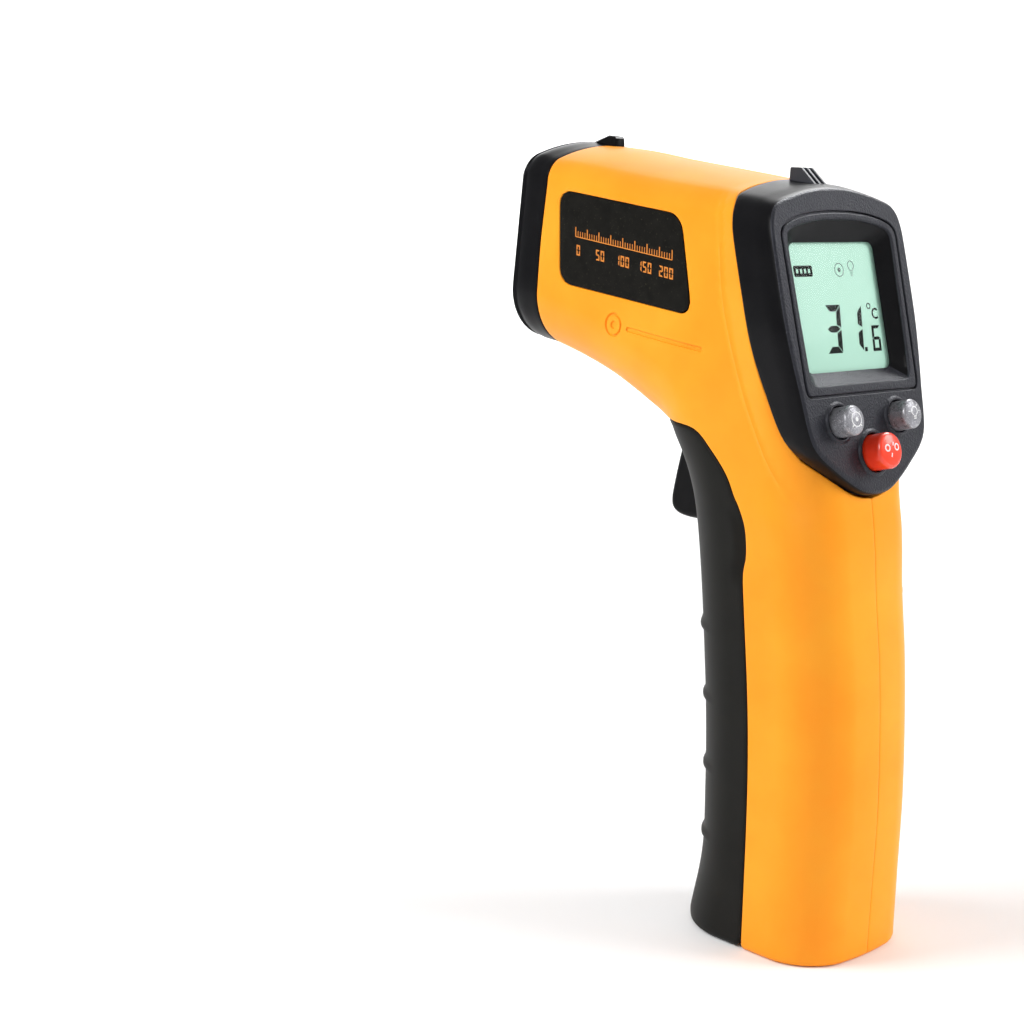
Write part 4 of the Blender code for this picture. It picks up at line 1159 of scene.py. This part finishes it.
# ---- trigger --------------------------------------------------------------------------------------
def trigger():
    front = catmull(((24.6, 107.2), (26.6, 103.0), (28.9, 98.1), (30.9, 91.5), (32.2, 86.2)), 5)
    tip = catmull(((32.2, 86.2), (32.1, 84.0), (30.6, 82.5), (27.5, 81.9), (22.8, 81.8)), 5)
    heel = catmull(((22.8, 81.8), (20.9, 83.0), (19.4, 88.5), (18.2, 96.0), (17.9, 103.5),
                    (18.5, 107.2)), 5)
    crown = np.array([(TRIGGER_PIVOT[0] + 3.1 * math.cos(t), TRIGGER_PIVOT[1] + 3.1 * math.sin(t))
                      for t in np.radians(np.linspace(170, 10, 12))])
    outline = resample(np.vstack((front, tip[1:], heel[1:], crown)), 150)
    turn = turning(outline)
    half, edge = TRIGGER_HALF_WIDTH - 0.02, 1.3
    ends = [(offset(outline, math.copysign(edge * (1 - math.sin(t)), turn)), edge * (1 - math.cos(t)))
            for t in np.radians((0, 18, 36, 54, 72, 90))]
    stack = [(ring, -half + x) for ring, x in ends]
    stack += [(outline, x) for x in np.linspace(-half + edge, half - edge, 5)[1:-1]]
    stack += [(ring, half - x) for ring, x in reversed(ends)]
    shape = strips([np.column_stack((np.full(len(ring), x), ring)) for ring, x in stack], True, True)
    piece("trigger_lever", outward(shape, turn), "trigger", TRIGGER, ("trigger",), "black_plastic",
          angle=50)


trigger()


SPRING_START = (0.0, 8.9, 101.0)
SPRING_COIL = (2.0, 8.0, 4)       # radius, length and turns
SPRING_WIRE = 0.3


def trigger_spring():
    """The trigger's return spring, a fixed coil of wire."""
    radius, length, turns = SPRING_COIL
    count = turns * 28
    slope = length / (math.tau * turns * radius)
    rings = []
    for step in range(count + 1):
        a = math.tau * turns * step / count
        out = np.array((math.cos(a), 0.0, -math.sin(a)))
        along = np.array((-math.sin(a), slope, -math.cos(a)))
        side = np.cross(out, along / np.linalg.norm(along))
        centre = np.array(SPRING_START) + out * radius + np.array((0.0, length * step / count, 0.0))
        rings.append([centre + SPRING_WIRE * (out * math.cos(b) + side * math.sin(b))
                      for b in (math.tau * k / 10 for k in range(10))])
    item = piece("trigger_return_spring", strips(rings, True, True), "casing", STEEL,
                 ("trigger_spring",), "steel", angle=60)
    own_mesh(item)


trigger_spring()


# ---- keys -----------------------------------------------------------------------------------------
def slab(polygons, place, low, high):
    """Thin raised marks: flat outlines (u, v) laid on a surface by place(u, v, level)."""
    points, faces = [], []
    for outline in polygons:
        area = sum(a[0] * b[1] - b[0] * a[1] for a, b in zip(outline, outline[1:] + outline[:1]))
        ring = list(outline) if area > 0 else list(reversed(outline))
        base, count = len(points), len(ring)
        points += [place(u, v, low) for u, v in ring] + [place(u, v, high) for u, v in ring]
        for i in range(count):
            j = (i + 1) % count
            faces.append((base + i, base + j, base + count + j, base + count + i))
        faces.append(tuple(base + count + i for i in range(count)))
        faces.append(tuple(base + i for i in reversed(range(count))))
    return np.array(points), faces


def ring_marks(x, v, radius, width, parts=20, start=0.0, end=360.0):
    """A ring or arc of short blocks."""
    blocks, small = [], radius - width
    for k in range(parts):
        a, b = (math.radians(start + (end - start) * (k + s) / parts) for s in (0.0, 1.02))
        blocks.append([(x + r * math.cos(t), v + r * math.sin(t))
                       for r, t in ((radius, a), (radius, b), (small, b), (small, a))])
    return blocks


def bar_mark(a, b, width):
    run = Vector((b[0] - a[0], b[1] - a[1])).normalized() * width / 2
    return [(a[0] - run.y, a[1] + run.x), (b[0] - run.y, b[1] + run.x),
            (b[0] + run.y, b[1] - run.x), (a[0] + run.y, a[1] - run.x)]


KEY_EDGE = 0.75           # radius of the key's rounded edge
KEY_CROWN = 0.26          # height of its slightly domed top


def key(name, spec, material, slot, marks):
    x, v, radius, top = spec
    profile = [(0.0, top), (radius * 0.35, top - 0.03), (radius * 0.62, top - 0.12),
               (radius - KEY_EDGE, top - KEY_CROWN)]
    for t in np.radians((15, 30, 45, 60, 75, 90)):
        profile.append((radius - KEY_EDGE + KEY_EDGE * math.sin(t),
                        top - KEY_CROWN - KEY_EDGE * (1 - math.cos(t))))
    profile += [(radius, 0.5), (radius, -0.28), (radius + 0.4, -0.3), (radius + 0.4, -1.3), (0.0, -1.3)]
    origin = on_face([(x, v)], 0.0)[0]
    piece(name + "_cap", turned(profile, origin, FACE_OUT, 64), name, material, (name,), slot, angle=35)

    def place(u, w, level):
        crown = np.interp(math.hypot(u, w), *np.transpose(profile[:8]))
        return on_face([(x + u, v + w)], crown + level)[0]

    piece(name + "_mark", slab(marks, place, -0.06, 0.035), name, WHITE_INK, (), slot, angle=20,
          merge=0)


target = (ring_marks(0, 0.1, 1.45, 0.22, 24) + [[(0.42 * math.cos(t), 0.1 + 0.42 * math.sin(t))
          for t in np.linspace(0, math.tau, 13)[:-1]]]
          + [bar_mark((1.3 * sx, 0.1 + 1.3 * sy), (1.95 * sx, 0.1 + 1.95 * sy), 0.22)
             for sx, sy in ((0.7, 0.7), (-0.7, 0.7), (0.7, -0.7), (-0.7, -0.7))])
bulb = (ring_marks(0, 0.45, 0.95, 0.2, 18, -60, 240)
        + [bar_mark((-0.45, -0.55), (0.45, -0.55), 0.2), bar_mark((-0.38, -0.95), (0.38, -0.95), 0.2)]
        + [bar_mark((1.25 * math.cos(t), 0.45 + 1.25 * math.sin(t)),
                    (1.75 * math.cos(t), 0.45 + 1.75 * math.sin(t)), 0.2)
           for t in np.radians((0, 45, 90, 135, 180))])
units = (ring_marks(-1.35, 0.45, 0.72, 0.26, 20) + ring_marks(1.35, 0.45, 0.72, 0.26, 20)
         + [bar_mark((-0.5, -1.3), (0.5, 1.4), 0.3)])
key("laser_button", OTHER_KEY, GREY_KEY, "grey_button", target)
key("backlight_button", SIDE_KEY, GREY_KEY, "grey_button", bulb)
key("unit_button", UNIT_KEY, RED_KEY, "red_button", units)


# ---- display ----------------------------------------------------------------------------------------
SEGMENTS = {"0": "abcdef", "1": "bc", "2": "abged", "3": "abgcd", "4": "fgbc", "5": "afgcd",
            "6": "afgedc", "7": "abc", "8": "abcdefg", "9": "abcdfg"}


def seven(digit, x, v, width, height, thick, slant=0.0, gap=0.12):
    """Polygons of a seven-segment digit whose lower left corner is at (x, v)."""
    half, low, high = height / 2, height / 2 - thick / 2, height / 2 + thick / 2
    shapes = {
        "a": ((0, height), (width, height), (width - thick, height - thick), (thick, height - thick)),
        "d": ((0, 0), (thick, thick), (width - thick, thick), (width, 0)),
        "g": ((0.2 * thick, half), (thick, high), (width - thick, high), (width - 0.2 * thick, half),
              (width - thick, low), (thick, low)),
        "f": ((0, height - gap), (thick, height - thick - gap), (thick, high + gap), (0, half + gap)),
        "e": ((0, gap), (0, half - gap), (thick, low - gap), (thick, thick + gap)),
        "b": ((width, height - gap), (width, half + gap), (width - thick, high + gap),
              (width - thick, height - thick - gap)),
        "c": ((width, gap), (width - thick, thick + gap), (width - thick, low - gap),
              (width, half - gap))}
    return [[(x + px + slant * py, v + py) for px, py in shapes[s]] for s in SEGMENTS[digit]]


CELL_MARGIN = 1.4         # hidden border of the display cell beyond its view
CELL_TOP = -0.75          # level of its front
READING_LEVELS = (-0.76, -0.71)
SYMBOL_LEVELS = (-0.76, -0.715)
BADGE_LEVELS = (-0.72, -0.70)


def display():
    w, h = LCD_VIEW[0] / 2 + CELL_MARGIN, LCD_VIEW[1] / 2 + CELL_MARGIN
    outline = rounded([(i * w, j * h) for i, j in ((1, 1), (-1, 1), (-1, -1), (1, -1))], 0.8, 3)
    rings = [on_face(offset(outline, 0.15), -3.8), on_face(outline, -3.6), on_face(outline, -0.9),
             on_face(offset(outline, 0.15), CELL_TOP)]
    centre = [on_face(outline * share, CELL_TOP) for share in (0.8, 0.5, 0.2)]
    piece("lcd_cell", strips(rings + centre, True, True), "casing", LCD, ("lcd_module",), "lcd_glass",
          angle=30)
    pane_rings = [on_face(outline * 0.985, -0.62), on_face(outline * 0.985, -0.34),
                  on_face(outline * 0.5, -0.34)]
    piece("lcd_pane", strips(pane_rings, True, True), "casing", PANE, ("lcd_window",), "clear_window",
          angle=30)

    def printed(name, marks, levels, material):
        piece(name, slab(marks, lambda u, v, level: on_face([(u, v)], level)[0], *levels), "casing",
              material, (), "lcd_glass", angle=20, merge=0)

    marks = seven("3", -4.7, -8.75, 4.3, 9.2, 1.25, 0.115, 0.2)
    marks += seven("1", 1.7, -8.75, 4.3, 9.0, 1.25, 0.115, 0.2)
    marks += seven("6", 8.95, -8.85, 2.5, 5.0, 0.62, 0.08, 0.06)
    marks.append([(6.35 + dx, -8.75 + dy) for dx, dy in ((0, 0), (0.8, 0), (0.85, 0.8), (0.05, 0.8))])
    marks += ring_marks(9.35, -0.05, 0.62, 0.2, 16)
    marks += ring_marks(11.15, -1.55, 1.1, 0.38, 16, 45, 315)
    badge = rounded(((-11.3, 8.05), (-5.9, 8.05), (-5.9, 5.95), (-11.3, 5.95)), 0.35, 2)
    marks.append([tuple(p) for p in badge])
    printed("lcd_reading", marks, READING_LEVELS, SEGMENT)
    faint = ring_marks(2.1, 7.1, 1.35, 0.16, 24) + ring_marks(2.1, 7.1, 0.45, 0.45, 12)
    faint += ring_marks(5.75, 7.9, 0.95, 0.16, 20, -60, 240)
    faint += [bar_mark((5.3, 6.9), (6.2, 6.9), 0.16), bar_mark((5.4, 6.45), (6.1, 6.45), 0.16),
              bar_mark((5.5, 6.0), (6.0, 6.0), 0.16)]
    printed("lcd_symbols", faint, SYMBOL_LEVELS, FAINT)
    holes = [[(-10.6 + 1.15 * k, 6.6), (-10.05 + 1.15 * k, 6.6), (-10.05 + 1.15 * k, 7.4),
              (-10.6 + 1.15 * k, 7.4)] for k in range(4)]
    printed("lcd_badge_bars", holes, BADGE_LEVELS, LCD)


display()


# ---- label marks ----------------------------------------------------------------------------------
def side_surface(y, z, side, sink):
    """A point of the side wall, `sink` below the skin."""
    rows = side_rows
    under, upper = rows[:, :2], rows[:, 2:4]
    rise = upper - under
    cross = rise[:, 0] * (z - under[:, 1]) - rise[:, 1] * (y - under[:, 0])
    change = np.nonzero(np.diff(np.sign(cross)))[0]
    i = int(change[0])
    share = cross[i] / (cross[i] - cross[i + 1])
    row = rows[i] * (1 - share) + rows[i + 1] * share
    return np.array((side * (row[4] - sink), y, z))


side_rows = station_rows(np.linspace(1.0, 12.0, 400))
SCALE_ENDS = ((46.3, 139.0), (18.6, 134.6))
SCALE_TICKS = 40
SCALE_NUMBERS = (("0", 0.01), ("50", 0.22), ("100", 0.43), ("150", 0.66), ("200", 0.875))


def label_marks(name, side):
    """A plain graduated scale: ticks above and numerals below, along the label."""
    start, end = (np.array(p) for p in SCALE_ENDS[::-side])
    along = (end - start) / np.linalg.norm(end - start)
    up = np.array((0.0, 1.0))
    length = float(np.linalg.norm(end - start))

    def place(u, v, level):
        y, z = start + along * u + up * v
        return side_surface(y, z, side, 0.12 - level)

    half = length / 2
    marks = [bar_mark((0.0, 0.0), (half, 0.0), 0.18), bar_mark((half, 0.0), (length, 0.0), 0.18)]
    for k in range(SCALE_TICKS + 1):
        u = length * k / SCALE_TICKS
        tall, thick = (1.15, 0.18) if k % 5 else (1.9, 0.26)
        marks.append(bar_mark((u, 0.0), (u, tall), thick))
    for number, share in SCALE_NUMBERS:
        for n, digit in enumerate(number):
            marks += seven(digit, length * share + 1.4 * n, -3.7, 1.05, 2.1, 0.3, 0.0, 0.03)
    piece(name, slab(marks, place, -0.05, 0.03), "casing", MARK, (), "label_film", angle=20, merge=0)


label_marks("label_scale_left", -1)
label_marks("label_scale_right", 1)


# ---- stage, light and camera ------------------------------------------------------------------------
CAMERA_PLACE = (-0.26283, -0.23613, 0.13990)
CAMERA_TURN = (80.776, 0.0, -41.270)
CAMERA_LENS = 60.62
FLOOR_REACH, FLOOR_BACK, FLOOR_BEND, FLOOR_RISE, FLOOR_HALF = 1.6, 1.0, 0.4, 1.4, 2.2


def lit_area(name, place, aim, size, power):
    data = bpy.data.lights.new(name, 'AREA')
    data.shape = 'RECTANGLE'
    data.size, data.size_y = size
    data.energy = power
    item = bpy.data.objects.new(name, data)
    item.location = place
    item.rotation_euler = (Vector(aim) - Vector(place)).to_track_quat('-Z', 'Y').to_euler()
    bpy.context.scene.collection.objects.link(item)
    return item


def studio():
    floor_z = cad_bounds[0][2]
    mesh = bpy.data.meshes.new("studio_floor")
    profile = [(-FLOOR_REACH, 0.0), (FLOOR_BACK, 0.0)]
    profile += [(FLOOR_BACK + FLOOR_BEND * math.sin(t), FLOOR_BEND - FLOOR_BEND * math.cos(t))
                for t in np.radians((15, 30, 45, 60, 75, 90))]
    profile.append((FLOOR_BACK + FLOOR_BEND, FLOOR_RISE))
    look = Matrix.Rotation(math.radians(CAMERA_TURN[2]), 3, 'Z')
    points = []
    for along, height in profile:
        for across in (-FLOOR_HALF, FLOOR_HALF):
            p = look @ Vector((across, along, 0))
            points.append((p.x, p.y, height + floor_z))
    mesh.from_pydata(points, [], [(i, i + 1, i + 3, i + 2) for i in range(0, len(points) - 2, 2)])
    mesh.shade_smooth()
    white = finish("studio_paper", (0.90, 0.90, 0.90), 0.9, (0.92, 0.92, 0.92), 4, None, 0.1)
    mesh.materials.append(white)
    floor = bpy.data.objects.new("studio_floor", mesh)
    bpy.context.scene.collection.objects.link(floor)


studio()
centre = (0.0, 0.0, 0.09)
# Soft light from both sides shapes the orange body; the second group only gives the sheen.
for name, place, size, power in (("left_light", (-0.65, 0.45, 0.70), (0.5, 0.5), 8.2),
                                 ("right_light", (0.55, -0.70, 0.50), (0.5, 0.5), 7.0)):
    lit_area(name, place, centre, size, power).visible_glossy = False
for name, place, aim, size, power in (
        ("left_sheen", (-0.75, -0.45, 0.65), centre, (0.5, 0.5), 4.4),
        ("camera_sheen", (-0.42, -0.40, 0.42), centre, (0.12, 0.12), 0.55),
        ("top_sheen", (0.42, 0.12, 0.85), centre, (0.6, 0.4), 2.0),
        ("right_sheen", (0.78, -0.62, 0.54), centre, (0.34, 0.40), 2.5),
        ("edge_sheen", (0.62, 0.06, 0.74), (0.0, -0.03, 0.147), (0.5, 0.3), 6.0)):
    lit_area(name, place, aim, size, power).visible_diffuse = False
lit_area("backdrop_light", (0.35, 0.45, 0.95), (1.1, 1.4, 0.6), (1.0, 0.5), 16.0)

world = bpy.data.worlds.new("studio")
bpy.context.scene.world = world
world.use_nodes = True
world.node_tree.nodes["Background"].inputs["Color"].default_value = (1, 1, 1, 1)
world.node_tree.nodes["Background"].inputs["Strength"].default_value = 0.47
bpy.context.scene.view_settings.view_transform = 'Standard'

camera_data = bpy.data.cameras.new("camera")
camera_data.lens = CAMERA_LENS
camera_data.sensor_width = 36.0
camera_data.clip_start = 0.01
camera_data.clip_end = 20.0
camera = bpy.data.objects.new("camera", camera_data)
camera.location = CAMERA_PLACE
camera.rotation_euler = [math.radians(angle) for angle in CAMERA_TURN]
bpy.context.scene.collection.objects.link(camera)
bpy.context.scene.camera = camera
